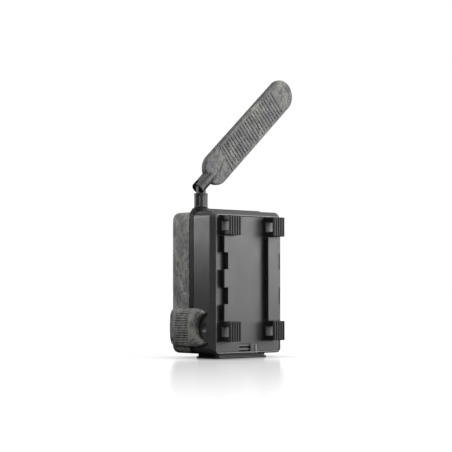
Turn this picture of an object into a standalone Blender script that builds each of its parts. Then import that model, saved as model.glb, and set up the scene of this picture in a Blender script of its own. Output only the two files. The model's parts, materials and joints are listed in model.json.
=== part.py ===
"""Trail camera: a two-part housing with strap brackets, a side latch and a folding paddle antenna.

The origin is the centre of the foot's underside. +Z is up, the lens looks along -Y and the strap
brackets face +Y. Depths are measured forwards from the flat back of the housing.
"""

import math

import bmesh
import bpy
from mathutils import Matrix, Vector

MM = 0.001
GAP = 0.3 * MM  # clearance between neighbouring pieces
SMOOTH_ANGLE = math.radians(35)

# Housing
BODY_WIDTH = 92 * MM
BODY_HEIGHT = 136 * MM
CORNER_RADIUS = 7.5 * MM
CORNER_STEPS = 5
WALL = 2.4 * MM
REAR_DEPTH = 26.8 * MM
FRAME_DEPTH = 6.1 * MM
COVER_DEPTH = 26.5 * MM
BACK_BEVEL = 4.2 * MM
BACK_BOTTOM_BEVEL = 1.0 * MM
FRONT_ROUNDING = 4.0 * MM
FRONT_ROUNDING_STEPS = 4
COVER_TOP_STEP = 0.9 * MM  # the front cover's top lies this much lower than the rear shell's

# Foot
FOOT_INSET = 12 * MM  # from each side
FOOT_DEPTH = 32 * MM
FOOT_HEIGHT = 4.0 * MM
FOOT_SETBACK = 8 * MM
FOOT_RADIUS = 6 * MM
FOOT_CHAMFER = 0.5 * MM
THREAD_RADIUS = 2.55 * MM
INSERT_RADIUS = 4.3 * MM
INSERT_LENGTH = 9.4 * MM
INSERT_BACK_OFFSET = 7 * MM  # behind the foot's centre

# Middle frame, which carries the seal and the antenna
RIDGE_HEIGHT = 2.5 * MM
FRAME_LIP = 2.4 * MM
FRAME_INNER_WALL = 1.8 * MM
SEAL_WIDTH = 0.9 * MM
SEAL_THICKNESS = 0.6 * MM
SEAL_GROOVE_DEPTH = 1.2 * MM
SEAL_LAND = 0.9 * MM
BOSS_WIDTH = 19 * MM
BOSS_DEPTH = 14.5 * MM

# Strap brackets on the back
BRACKET_WIDTH = 15.2 * MM
BRACKET_INNER_X = 20.8 * MM
LOOP_HEIGHT = 18.5 * MM
LOOP_REACH = 13.3 * MM
LOOP_BAR = 4.5 * MM
LOOP_BASE = 1.2 * MM
LOOP_PLATE = 2.0 * MM
LOOP_LOWER_RISE = 12.3 * MM  # above the housing's bottom
LOOP_UPPER_DROP = 5.5 * MM  # from the housing's top
LOOP_BEVEL = 0.4 * MM
RIB_COUNT = 5
RIB_GROOVE = 1.2 * MM
RIB_GROOVE_DEPTH = 0.8 * MM
RAIL_PLATE = 2.7 * MM
RAIL_STAND = 3.0 * MM
RAIL_WEB = 3.0 * MM
RAIL_BEVEL = 0.3 * MM
NOTCH_DEPTH = 4.7 * MM
NOTCH_HEIGHT = 15.8 * MM
NOTCH_PITCH = 32.8 * MM

# Lock slider at the foot of the back
LOCK_WIDTH = 24 * MM
LOCK_HEIGHT = 9.5 * MM
LOCK_RECESS = 2.6 * MM
LOCK_TRACK_BARS = 3
LOCK_SLIDER_WIDTH = 9 * MM
LOCK_SLIDER_RIB = 1.6 * MM
LOCK_PAD = 2.2 * MM
LOCK_BED = 0.8 * MM
LOCK_BAR_HEIGHT = 0.5 * MM
LOCK_STEP = 0.05 * MM  # the bars stop this far inside the bed's edges
LOCK_PROUD = 0.2 * MM
LOCK_RIB_HEIGHT = 1.0 * MM

# Door hinge on the -X side
HINGE_RADIUS = 2.8 * MM
HINGE_OFFSET = 3.4 * MM
HINGE_PIN_RADIUS = 1.1 * MM
HINGE_END_DISTANCE = 36 * MM  # from each hinge's middle to the housing's end
KNUCKLE_LENGTH = 8 * MM
HINGE_ARM = 6 * MM
HINGE_ARM_ROOT = 0.5 * MM  # sunk into the wall

# Latch lever on the +X side
LATCH_HEIGHT = 36 * MM
LATCH_RISE = 7.2 * MM  # above the housing's bottom
LATCH_TAIL_DEPTH = 8 * MM
LATCH_PIVOT_DEPTH = 54 * MM
LATCH_THICKNESS = 5.8 * MM
LATCH_EDGE = 1.4 * MM
LATCH_TAIL_THICKNESS = 2.6 * MM
LATCH_CLEARANCE = 0.4 * MM
LATCH_PIN_RADIUS = 1.0 * MM
LATCH_PIN_INSET = 2 * MM
LATCH_NOTCH_RADIUS = 13.2 * MM
LATCH_NOTCH_DEPTH = 6 * MM
LATCH_EAR = 4 * MM
LATCH_EAR_INSET = 6 * MM
LATCH_EAR_RADIUS = 2.2 * MM
LATCH_RIBS = 12
LATCH_RIB_PITCH = 2.35 * MM
LATCH_RIB_START = 33 * MM
LATCH_RIB_END = 50 * MM
LATCH_RIB_DEPTH = 0.8 * MM
LATCH_CROWN_STEPS = 12
SCOOP_RADIUS = 11 * MM
SCOOP_DEPTH = 1.1 * MM
SCOOP_SETBACK = 11.5 * MM
CATCH_SIZE = Vector((1.2, 4, 9)) * MM
CATCH_SETBACK = 3.5 * MM

# Batteries: two rows of four AA cells
CELL_RADIUS = 7.2 * MM
CELL_LENGTH = 50.5 * MM
CELL_RIM = 0.6 * MM
CELL_NUB_RADIUS = 2.75 * MM
CELL_NUB_LENGTH = 1.2 * MM
CELL_SPACING = 0.9 * MM
CELL_COLUMNS = 4
TRAY_FLOOR = 1.5 * MM
TRAY_WALL = 2.0 * MM
TRAY_DEPTH = 11 * MM
TRAY_RIB = 1.2 * MM
TRAY_RIB_HEIGHT = 3 * MM
TRAY_RISE = 13.2 * MM  # above the housing's bottom
TRAY_STANDOFF = 0.6 * MM
CONTACT_THICKNESS = 0.6 * MM
CONTACT_HALF_WIDTH = 4 * MM
CONTACT_BUMP = 0.9 * MM
CONTACT_BUMP_FOOT = 2.4 * MM
CONTACT_BUMP_TOP = 1.4 * MM

# Antenna
ANTENNA_INSET = 12 * MM  # from the +X side
CONNECTOR_RADIUS = 3.1 * MM
CONNECTOR_STEM = 1.2 * MM
CONNECTOR_FLANGE = 4.6 * MM
CONNECTOR_FLANGE_THICKNESS = 2.4 * MM
CONNECTOR_DROP = 0.8 * MM
CONNECTOR_RISE = 7 * MM
CONNECTOR_ROOM = 14 * MM
COLLAR_RADIUS = 6.6 * MM
COLLAR_HEIGHT = 14.2 * MM
COLLAR_CHAMFER = 1.0 * MM
COLLAR_FLATS = 6
COLLAR_GROOVE_RADIUS = 2 * MM
COLLAR_GROOVE_DEPTH = 0.7 * MM
COLLAR_GROOVE_START = 1.5 * MM
COLLAR_GROOVE_END = 2.5 * MM  # below the collar's top
PIVOT_HEIGHT = 22.3 * MM  # above the ridge
TONGUE_THICKNESS = 5 * MM
TONGUE_WIDTH = 9.6 * MM
ROOT_RADIUS = 6.2 * MM
ROOT_BACK = 6.3 * MM
ROOT_FRONT = 15 * MM
ROOT_SLOT_CLEARANCE = 0.4 * MM
ROOT_ROUNDING = 1.2 * MM
ANTENNA_PIN_RADIUS = 1.4 * MM
BLADE_START = 9 * MM  # from the pivot, along the blade
BLADE_LENGTH = 149 * MM
BLADE_WIDTH = 31.6 * MM
BLADE_THICKNESS = 6.0 * MM
BLADE_WALL = 1.5 * MM
BLADE_EDGE = 1.1 * MM
BLADE_END_STEPS = 10
BLADE_TILT = math.radians(47.7)  # away from upright, towards -X
RADIATOR_WIDTH = 16 * MM
RADIATOR_LENGTH = 100 * MM
RADIATOR_THICKNESS = 0.8 * MM

# Face of the front cover
FASCIA_SIDE = 13 * MM
FASCIA_RISE = 15.7 * MM
FASCIA_DROP = 8.3 * MM
FASCIA_THICKNESS = 2.0 * MM
FASCIA_PROUD = 0.5 * MM
FASCIA_RADIUS = 9 * MM
FASCIA_EDGE = 0.4 * MM
LENS_DROP = 62.3 * MM
BEZEL_WIDTH = 3.6 * MM
BEZEL_CLEARANCE = 0.4 * MM
BEZEL_SUNK = 3 * MM
BEZEL_PROUD = 1.5 * MM
BEZEL_ROUND = 1 * MM
BEZEL_FUNNEL = 2 * MM
BARREL_RADIUS = 8.2 * MM
BARREL_WALL = 1.2 * MM
BARREL_LENGTH = 13 * MM
BARREL_SETBACK = 0.5 * MM
GLASS_THICKNESS = 1.4 * MM
GLASS_SETBACK = 2.5 * MM
PIR_RISE = 36.7 * MM
PIR_RADIUS = 14 * MM
PIR_RIM = 2.5 * MM
PIR_DOME = 4.5 * MM
PIR_SKIN = 1.2 * MM
PIR_SENSOR_RADIUS = 4.6 * MM
PIR_SENSOR_HEIGHT = 4 * MM
PIR_SENSOR_SETBACK = 9 * MM
WINDOW_MARGIN = 5 * MM  # from the fascia's side
WINDOW_HEIGHT = 28 * MM
WINDOW_DROP = 30.3 * MM
WINDOW_THICKNESS = 1.6 * MM
WINDOW_RADIUS = 3 * MM
LED_ROWS = 3
LED_PITCH = 7.6 * MM
LED_MARGIN = 5.2 * MM  # from the board's side to the first emitter
LED_RADIUS = 2.5 * MM
LED_HEIGHT = 3 * MM
LED_CROWN = 0.8 * MM
LED_BOARD_SETBACK = 5.1 * MM
STATUS_LIGHT_RADIUS = 1.2 * MM
STATUS_LIGHT_X = 22 * MM
STATUS_LIGHT_LENGTH = 5 * MM
STATUS_LIGHT_PROUD = 0.1 * MM

# Inside the front half
PANEL_THICKNESS = 1.8 * MM
PANEL_SETBACK = 1.5 * MM
DISPLAY_WIDTH = 44 * MM
DISPLAY_HEIGHT = 34 * MM
DISPLAY_DROP = 34.3 * MM
DISPLAY_FRAME = 3 * MM
DISPLAY_THICKNESS = 2.6 * MM
DISPLAY_SETBACK = 0.4 * MM
KEY_RADIUS = 3.6 * MM
KEY_FLANGE = 4.6 * MM
KEY_PITCH = 11 * MM
KEY_RISE = 1.4 * MM
KEY_CHAMFER = 0.5 * MM
KEYS_X = 14 * MM
KEY_MARGIN = 11.4 * MM  # between the display and the upper key
KEY_FLANGE_THICKNESS = 0.8 * MM
SWITCH_RISE = 29.7 * MM
SWITCH_X = 10 * MM
SWITCH_WIDTH = 7 * MM
SWITCH_HEIGHT = 4.4 * MM
SWITCH_TRAVEL = 8 * MM
SWITCH_PLATE = 1 * MM
SWITCH_MARGIN = 1.5 * MM
SWITCH_PROUD = 1.5 * MM
SWITCH_BEVEL = 0.4 * MM
CARD_WIDTH = 24 * MM
CARD_HEIGHT = 32 * MM
CARD_THICKNESS = 2.1 * MM
CARD_CORNER = 4 * MM
CARD_SIDE = 1.5 * MM  # from the socket to the frame
CARD_RISE = 15.7 * MM
CARD_SHOWING = 4 * MM
SOCKET_WALL = 1.2 * MM
BOARD_THICKNESS = 1.6 * MM
MAIN_BOARD_DEPTH = 37 * MM
MAIN_BOARD_TOP = 26 * MM  # below the housing's top
MAIN_BOARD_SIDE = 4 * MM
MAIN_BOARD_RISE = 10 * MM
CHIP_HEIGHT = 1.0 * MM
CHIPS = ((-18, 35.7, 14), (12, 25.7, 10), (-14, 81.7, 12))  # x, height on the board, size, in mm
MODEM_X = 6 * MM
MODEM_DROP = 3.3 * MM  # below the board's top
SENSOR_BOARD_SIZE = 22 * MM
IMAGE_CHIP = 6 * MM
IMAGE_CHIP_HEIGHT = 1 * MM
MODEM_SIZE = Vector((29, 2.4, 32)) * MM
COAX_RADIUS = 0.9 * MM
COAX_CLEARANCE = 0.7 * MM  # in front of the modem
COAX_OVERLAP = 4 * MM  # how far the lead runs down the modem's face
COAX_START_PULL = 10 * MM
COAX_END_PULL = 18 * MM

# Places that follow from the sizes above
BACK_Y = FOOT_SETBACK + FOOT_DEPTH / 2
HALF_WIDTH = BODY_WIDTH / 2
FOOT_WIDTH = BODY_WIDTH - 2 * FOOT_INSET
BODY_BOTTOM = FOOT_HEIGHT + GAP
BODY_TOP = BODY_BOTTOM + BODY_HEIGHT
HINGE_LOWER_Z = BODY_BOTTOM + HINGE_END_DISTANCE
HINGE_X = -HALF_WIDTH - HINGE_OFFSET
HINGE_UPPER_Z = BODY_TOP - HINGE_END_DISTANCE
LOOP_LOWER_Z = BODY_BOTTOM + LOOP_LOWER_RISE
LOOP_UPPER_Z = BODY_TOP - LOOP_UPPER_DROP - LOOP_HEIGHT
LATCH_BOTTOM = BODY_BOTTOM + LATCH_RISE
LATCH_MIDDLE = LATCH_BOTTOM + LATCH_HEIGHT / 2
ANTENNA_X = HALF_WIDTH - ANTENNA_INSET
FASCIA_WIDTH = BODY_WIDTH - 2 * FASCIA_SIDE
FASCIA_BOTTOM = BODY_BOTTOM + FASCIA_RISE
FASCIA_TOP = BODY_TOP - FASCIA_DROP
LENS_Z = BODY_TOP - LENS_DROP
BEZEL_INNER = BARREL_RADIUS + BEZEL_CLEARANCE
BEZEL_OUTER = BEZEL_INNER + BEZEL_WIDTH
LENS_BORE = BEZEL_OUTER + GAP
PIR_Z = BODY_BOTTOM + PIR_RISE
WINDOW_Z = BODY_TOP - WINDOW_DROP
WINDOW_WIDTH = FASCIA_WIDTH - 2 * WINDOW_MARGIN
LED_COLUMNS = round((WINDOW_WIDTH - 2 * LED_MARGIN) / LED_PITCH) + 1
DISPLAY_Z = BODY_TOP - DISPLAY_DROP
KEYS_Z = DISPLAY_Z - DISPLAY_HEIGHT / 2 - KEY_MARGIN - KEY_FLANGE - KEY_PITCH
SWITCH_Z = BODY_BOTTOM + SWITCH_RISE
CARD_Z = BODY_BOTTOM + CARD_RISE
CELL_PITCH = 2 * CELL_RADIUS + CELL_SPACING
TRAY_BOTTOM = BODY_BOTTOM + TRAY_RISE
FRAME_BACK = REAR_DEPTH + GAP
FRAME_FRONT = FRAME_BACK + FRAME_DEPTH
ANTENNA_DEPTH = FRAME_BACK + FRAME_DEPTH / 2
SEAM_DEPTH = (REAR_DEPTH + FRAME_BACK) / 2
COVER_BACK = FRAME_FRONT + GAP
COVER_FRONT = COVER_BACK + COVER_DEPTH
FASCIA_FRONT = COVER_FRONT + FASCIA_PROUD
FASCIA_BACK = FASCIA_FRONT - FASCIA_THICKNESS
BARREL_FRONT = COVER_FRONT - BARREL_SETBACK
RIDGE_TOP = BODY_TOP + RIDGE_HEIGHT
PANEL_BACK = FRAME_BACK + PANEL_SETBACK
PANEL_FRONT = PANEL_BACK + PANEL_THICKNESS
COLLAR_BOTTOM = RIDGE_TOP + GAP
PIVOT_Z = RIDGE_TOP + PIVOT_HEIGHT
INNER_HALF_WIDTH = HALF_WIDTH - WALL - 2 * GAP - FRAME_INNER_WALL
CARD_X = CARD_SIDE + SOCKET_WALL + GAP + CARD_WIDTH / 2 - INNER_HALF_WIDTH
TRAY_FLOOR_DEPTH = WALL + TRAY_STANDOFF
CELL_DEPTH = TRAY_FLOOR_DEPTH + TRAY_FLOOR + GAP + CELL_RADIUS
CONTACT_ROOM = CONTACT_THICKNESS + CONTACT_BUMP + 2 * GAP
CELL_LOWER_Z = TRAY_BOTTOM + TRAY_WALL + CONTACT_ROOM
MIDDLE_CONTACT_Z = CELL_LOWER_Z + CELL_LENGTH + CONTACT_BUMP + GAP
CELL_UPPER_Z = MIDDLE_CONTACT_Z + CONTACT_THICKNESS + CONTACT_BUMP + GAP
TRAY_TOP = CELL_UPPER_Z + CELL_LENGTH + CONTACT_ROOM + TRAY_WALL
TRAY_HALF_WIDTH = (CELL_COLUMNS - 1) / 2 * CELL_PITCH + CELL_RADIUS + GAP + TRAY_WALL

Y_AXIS = Vector((0, 1, 0))
Z_AXIS = Vector((0, 0, 1))


# Materials: name -> colour, roughness, metallic

FINISHES = {
    "housing_dark": ((0.17, 0.17, 0.17), 0.55, 0.0),
    "housing_camo": ((0.13, 0.14, 0.11), 0.65, 0.0),
    "frame_black": ((0.03, 0.03, 0.03), 0.5, 0.0),
    "gloss_black": ((0.01, 0.01, 0.01), 0.15, 0.0),
    "rubber": ((0.02, 0.02, 0.02), 0.8, 0.0),
    "steel": ((0.6, 0.6, 0.6), 0.3, 1.0),
    "brass": ((0.7, 0.52, 0.25), 0.3, 1.0),
    "glass": ((0.02, 0.02, 0.03), 0.05, 0.0),
    "lens_white": ((0.7, 0.7, 0.68), 0.35, 0.0),
    "circuit": ((0.02, 0.15, 0.06), 0.5, 0.0),
    "cell_wrap": ((0.05, 0.05, 0.06), 0.35, 0.6),
    "card": ((0.03, 0.05, 0.12), 0.5, 0.0),
}


def material(name):
    """The named Principled material, made on first use."""
    found = bpy.data.materials.get(name)
    if found:
        return found
    colour, roughness, metallic = FINISHES[name]
    made = bpy.data.materials.new(name)
    made.use_nodes = True
    shader = made.node_tree.nodes["Principled BSDF"]
    shader.inputs["Base Color"].default_value = (*colour, 1.0)
    shader.inputs["Roughness"].default_value = roughness
    shader.inputs["Metallic"].default_value = metallic
    made.diffuse_color = (*colour, 1.0)
    return made


# Modelling helpers


def front(depth):
    """The Y of a plane this far in front of the flat back."""
    return BACK_Y - depth


def new_object(name, bm, finish):
    bmesh.ops.recalc_face_normals(bm, faces=bm.faces)
    mesh = bpy.data.meshes.new(name)
    bm.to_mesh(mesh)
    bm.free()
    mesh.materials.append(material(finish))
    obj = bpy.data.objects.new(name, mesh)
    bpy.context.scene.collection.objects.link(obj)
    return obj


def loft(name, rings, finish, closed=False):
    """A solid through rings of equally many points. A closed loft joins its last ring to its first."""
    bm = bmesh.new()
    made = [[bm.verts.new(point) for point in ring] for ring in rings]
    count = len(rings[0])
    pairs = list(zip(made, made[1:]))
    if closed:
        pairs.append((made[-1], made[0]))
    else:
        bm.faces.new(made[0])
        bm.faces.new(made[-1])
    for lower, upper in pairs:
        for i in range(count):
            j = (i + 1) % count
            bm.faces.new((lower[i], lower[j], upper[j], upper[i]))
    return new_object(name, bm, finish)


def block(name, low, high, finish, bevel=0.0):
    bm = bmesh.new()
    bmesh.ops.create_cube(bm, size=1.0)
    size = Vector(high) - Vector(low)
    centre = (Vector(high) + Vector(low)) / 2
    bmesh.ops.transform(bm, matrix=Matrix.Translation(centre) @ Matrix.Diagonal((*size, 1)), verts=bm.verts)
    if bevel:
        bmesh.ops.bevel(bm, geom=bm.edges[:], offset=bevel, segments=2, profile=0.5, affect="EDGES")
    return new_object(name, bm, finish)


def prism(name, outline, travel, finish):
    """An outline moved along a vector."""
    return loft(name, [outline, [point + travel for point in outline]], finish)


def arc(radius, start, end, steps):
    """Points (u, v) on an arc about zero, ends included, angles in degrees."""
    angles = [math.radians(start + (end - start) * i / steps) for i in range(steps + 1)]
    return [(radius * math.cos(a), radius * math.sin(a)) for a in angles]


def turned(name, centre, axis, profile, finish, steps=24, closed=False):
    """A profile of (radius, height) points turned about an axis through centre."""
    axis = Vector(axis).normalized()
    across = axis.orthogonal().normalized()
    beside = axis.cross(across)
    rings = []
    for radius, height in profile:
        turn = [across * u + beside * v for u, v in arc(radius, 0, 360 - 360 / steps, steps - 1)]
        rings.append([Vector(centre) + axis * height + point for point in turn])
    return loft(name, rings, finish, closed)


def rod(name, start, end, radius, finish, steps=16):
    travel = Vector(end) - Vector(start)
    return turned(name, start, travel, [(radius, 0), (radius, travel.length)], finish, steps)


def tube(name, start, end, inner, outer, finish, steps=24):
    travel = Vector(end) - Vector(start)
    length = travel.length
    profile = [(outer, 0), (outer, length), (inner, length), (inner, 0)]
    return turned(name, start, travel, profile, finish, steps, closed=True)


def rounded_outline(depth, half_width, bottom, top, radius, centre_x=0.0, steps=CORNER_STEPS):
    """A rounded rectangle in a plane of constant depth."""
    points = []
    corners = (
        (half_width - radius, top - radius, 0),
        (radius - half_width, top - radius, 90),
        (radius - half_width, bottom + radius, 180),
        (half_width - radius, bottom + radius, 270),
    )
    for x, z, turn in corners:
        for u, v in arc(radius, turn, turn + 90, steps):
            points.append(Vector((centre_x + x + u, front(depth), z + v)))
    return points


def body_ring(depth, inset=0.0, raise_top=0.0, raise_bottom=None):
    """The housing's outline at a depth, moved inwards by inset."""
    bottom = BODY_BOTTOM + (inset if raise_bottom is None else raise_bottom)
    top = BODY_TOP - inset + raise_top
    radius = max(CORNER_RADIUS - inset, 1.2 * MM)
    return rounded_outline(depth, HALF_WIDTH - inset, bottom, top, radius)


def combine(target, operation, tools):
    """Applies Booleans with the EXACT solver and removes the tools."""
    for tool in tools:
        change = target.modifiers.new(operation.lower(), "BOOLEAN")
        change.operation = operation
        change.solver = "EXACT"
        change.object = tool
    bpy.context.view_layer.update()
    evaluated = target.evaluated_get(bpy.context.evaluated_depsgraph_get())
    mesh = bpy.data.meshes.new_from_object(evaluated)
    target.modifiers.clear()
    target.data = mesh
    for tool in tools:
        bpy.data.objects.remove(tool)
    return target


def cut(target, *tools):
    return combine(target, "DIFFERENCE", tools)


def join(target, *tools):
    return combine(target, "UNION", tools)


def set_pivot(obj, point):
    """Moves an object's origin to its joint's axis."""
    obj.data.transform(Matrix.Translation(-Vector(point)))
    obj.location = point
    return obj


# Rear half


def knuckle(name, centre_z, side, finish):
    """A hinge barrel and its arm; side is +1 for the rear shell and -1 for the front half."""
    axis = Vector((HINGE_X, front(SEAM_DEPTH), 0))
    low = centre_z - KNUCKLE_LENGTH / 2
    high = centre_z + KNUCKLE_LENGTH / 2
    root = -HALF_WIDTH + HINGE_ARM_ROOT
    outline = [
        Vector((axis.x, axis.y + side * GAP, low)),
        Vector((root, axis.y + side * 3 * GAP, low)),
        Vector((root, axis.y + side * HINGE_ARM, low)),
        Vector((axis.x, axis.y + side * HINGE_RADIUS * 0.98, low)),
    ]
    barrel = rod(name, axis + Z_AXIS * low, axis + Z_AXIS * high, HINGE_RADIUS, finish)
    join(barrel, prism("arm", outline, Z_AXIS * KNUCKLE_LENGTH, finish))
    bore_ends = (axis + Z_AXIS * (low - MM), axis + Z_AXIS * (high + MM))
    return cut(barrel, rod("bore", *bore_ends, HINGE_PIN_RADIUS + GAP, finish))


def insert_centre():
    return Vector((0, INSERT_BACK_OFFSET, 0))


def rear_shell():
    rings = [
        body_ring(0, BACK_BEVEL, raise_bottom=BACK_BOTTOM_BEVEL),
        body_ring(BACK_BOTTOM_BEVEL, BACK_BEVEL - BACK_BOTTOM_BEVEL, raise_bottom=0),
        body_ring(BACK_BEVEL),
        body_ring(REAR_DEPTH),
        body_ring(REAR_DEPTH, WALL),
        body_ring(BACK_BEVEL + WALL, WALL),
        body_ring(WALL, BACK_BEVEL + WALL / 2),
    ]
    shell = loft("rear_shell", rings, "housing_dark")
    half_pad = LOCK_WIDTH / 2 + WALL
    pad = block(
        "pad",
        (-half_pad, front(WALL + LOCK_PAD), BODY_BOTTOM + WALL / 2),
        (half_pad, front(WALL / 2), BODY_BOTTOM + LOCK_HEIGHT + WALL),
        "housing_dark",
    )
    boss_low = insert_centre() + Z_AXIS * (BODY_BOTTOM + WALL / 2)
    boss_high = insert_centre() + Z_AXIS * (INSERT_LENGTH + GAP)
    boss = rod("boss", boss_low, boss_high, INSERT_RADIUS + WALL, "housing_dark")
    lugs = [knuckle("lug", z, 1, "housing_dark") for z in (HINGE_LOWER_Z, HINGE_UPPER_Z)]
    catch = block("catch", *catch_corners(), "housing_dark")
    join(shell, pad, boss, catch, *lugs)
    recess = block(
        "recess",
        (-LOCK_WIDTH / 2, front(LOCK_RECESS), BODY_BOTTOM - MM),
        (LOCK_WIDTH / 2, front(-MM), BODY_BOTTOM + LOCK_HEIGHT),
        "housing_dark",
    )
    insert_hole = rod(
        "insert_hole",
        insert_centre() + Z_AXIS * (BODY_BOTTOM - MM),
        boss_high + Z_AXIS * MM,
        INSERT_RADIUS + GAP,
        "housing_dark",
    )
    scoop_centre = (HALF_WIDTH + SCOOP_RADIUS - SCOOP_DEPTH, front(SCOOP_SETBACK), LATCH_MIDDLE)
    scoop = turned("scoop", scoop_centre, Z_AXIS, arc(SCOOP_RADIUS, -80, 80, 8), "housing_dark")
    return cut(shell, recess, insert_hole, scoop)


def strap_loop(name, side, low_z):
    """A square loop open along X, with ribs on its outer plate."""
    x_low = BRACKET_INNER_X if side > 0 else -BRACKET_INNER_X - BRACKET_WIDTH
    x_high = x_low + BRACKET_WIDTH
    loop = block(
        name,
        (x_low, BACK_Y + GAP, low_z),
        (x_high, BACK_Y + LOOP_REACH, low_z + LOOP_HEIGHT),
        "frame_black",
        bevel=LOOP_BEVEL,
    )
    window = block(
        "window",
        (x_low - MM, BACK_Y + GAP + LOOP_BASE, low_z + LOOP_BAR),
        (x_high + MM, BACK_Y + LOOP_REACH - LOOP_PLATE, low_z + LOOP_HEIGHT - LOOP_BAR),
        "frame_black",
    )
    pitch = BRACKET_WIDTH / RIB_COUNT
    grooves = []
    for i in range(1, RIB_COUNT):
        middle = x_low + pitch * i
        low = (middle - RIB_GROOVE / 2, BACK_Y + LOOP_REACH - RIB_GROOVE_DEPTH, low_z - MM)
        high = (middle + RIB_GROOVE / 2, BACK_Y + LOOP_REACH + MM, low_z + LOOP_HEIGHT + MM)
        grooves.append(block("groove", low, high, "frame_black"))
    return cut(loop, window, *grooves)


def strap_rail(name, side):
    """A plate on webs, with the strap passing beneath and two notches in its outer edge."""
    inner = side * BRACKET_INNER_X
    outer = side * (BRACKET_INNER_X + BRACKET_WIDTH)
    low_x, high_x = sorted((inner, outer))
    bottom = LOOP_LOWER_Z + LOOP_HEIGHT + GAP
    top = LOOP_UPPER_Z - GAP
    middle = (bottom + top) / 2
    plate_low = BACK_Y + RAIL_STAND
    rail = block(
        name,
        (low_x, plate_low, bottom),
        (high_x, plate_low + RAIL_PLATE, top),
        "housing_dark",
        bevel=RAIL_BEVEL,
    )
    webs = []
    for z in (bottom, middle - RAIL_WEB / 2, top - RAIL_WEB):
        low = (low_x + GAP, BACK_Y + GAP, z + GAP)
        high = (high_x - GAP - NOTCH_DEPTH, plate_low + RAIL_PLATE / 2, z + RAIL_WEB - GAP)
        if side < 0:
            low = (low_x + GAP + NOTCH_DEPTH, low[1], low[2])
            high = (high_x - GAP, high[1], high[2])
        webs.append(block("web", low, high, "housing_dark"))
    join(rail, *webs)
    notches = []
    for z in (middle - NOTCH_PITCH / 2, middle + NOTCH_PITCH / 2):
        notch_x = sorted((outer + side * MM, outer - side * NOTCH_DEPTH))
        low = (notch_x[0], plate_low - MM, z - NOTCH_HEIGHT / 2)
        high = (notch_x[1], plate_low + RAIL_PLATE + MM, z + NOTCH_HEIGHT / 2)
        notches.append(block("notch", low, high, "housing_dark"))
    return cut(rail, *notches)


def foot():
    ring = []
    for x, y, turn in ((1, 1, 0), (-1, 1, 90), (-1, -1, 180), (1, -1, 270)):
        centre_x = x * (FOOT_WIDTH / 2 - FOOT_RADIUS)
        centre_y = y * (FOOT_DEPTH / 2 - FOOT_RADIUS)
        ring += [Vector((centre_x + u, centre_y + v, 0)) for u, v in arc(FOOT_RADIUS, turn, turn + 90, 5)]
    shrink = Matrix.Diagonal((1 - 2 * FOOT_CHAMFER / FOOT_WIDTH, 1 - 2 * FOOT_CHAMFER / FOOT_DEPTH, 1))
    rings = [
        [shrink @ p for p in ring],
        [p + Z_AXIS * FOOT_CHAMFER for p in ring],
        [p + Z_AXIS * FOOT_HEIGHT for p in ring],
    ]
    body = loft("foot", rings, "frame_black")
    hole_low = insert_centre() - Z_AXIS * MM
    hole_high = insert_centre() + Z_AXIS * (FOOT_HEIGHT + MM)
    return cut(body, rod("hole", hole_low, hole_high, INSERT_RADIUS + GAP, "brass"))


def tripod_insert():
    low = insert_centre() + Z_AXIS * GAP
    return tube("tripod_insert", low, low + Z_AXIS * INSERT_LENGTH, THREAD_RADIUS, INSERT_RADIUS, "brass", 16)


def cell_x(column):
    return (column - (CELL_COLUMNS - 1) / 2) * CELL_PITCH


def battery_tray():
    floor_y = front(TRAY_FLOOR_DEPTH)
    open_y = front(TRAY_FLOOR_DEPTH + TRAY_DEPTH)
    pocket_y = front(TRAY_FLOOR_DEPTH + TRAY_FLOOR)
    tray_low = (-TRAY_HALF_WIDTH, open_y, TRAY_BOTTOM)
    tray = block("battery_tray", tray_low, (TRAY_HALF_WIDTH, floor_y, TRAY_TOP), "frame_black")
    inner_x = TRAY_HALF_WIDTH - TRAY_WALL
    pocket_low = (-inner_x, open_y - MM, TRAY_BOTTOM + TRAY_WALL)
    pocket = block("pocket", pocket_low, (inner_x, pocket_y, TRAY_TOP - TRAY_WALL), "frame_black")
    cut(tray, pocket)
    ribs = []
    for low in (CELL_LOWER_Z, CELL_UPPER_Z):
        for column in range(CELL_COLUMNS - 1):
            x = cell_x(column) + CELL_PITCH / 2
            z = low + CELL_LENGTH / 4
            rib_low = (x - TRAY_RIB / 2, pocket_y - TRAY_RIB_HEIGHT, z)
            rib_high = (x + TRAY_RIB / 2, pocket_y + TRAY_FLOOR / 2, z + CELL_LENGTH / 2)
            ribs.append(block("rib", rib_low, rib_high, "frame_black"))
    return join(tray, *ribs)


def cells():
    """Eight cells; neighbours point opposite ways."""
    number = 0
    for low in (CELL_LOWER_Z, CELL_UPPER_Z):
        for column in range(CELL_COLUMNS):
            number += 1
            up = column % 2 == 0
            base = Vector((cell_x(column), front(CELL_DEPTH), low if up else low + CELL_LENGTH))
            direction = Z_AXIS if up else -Z_AXIS
            can = CELL_LENGTH - CELL_NUB_LENGTH
            profile = [
                (CELL_RADIUS - CELL_RIM, 0),
                (CELL_RADIUS, CELL_RIM),
                (CELL_RADIUS, can - CELL_RIM),
                (CELL_RADIUS - CELL_RIM, can),
                (CELL_NUB_RADIUS, can),
                (CELL_NUB_RADIUS, CELL_LENGTH),
            ]
            turned(f"cell_{number}", base, direction, profile, "cell_wrap", 16)


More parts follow.
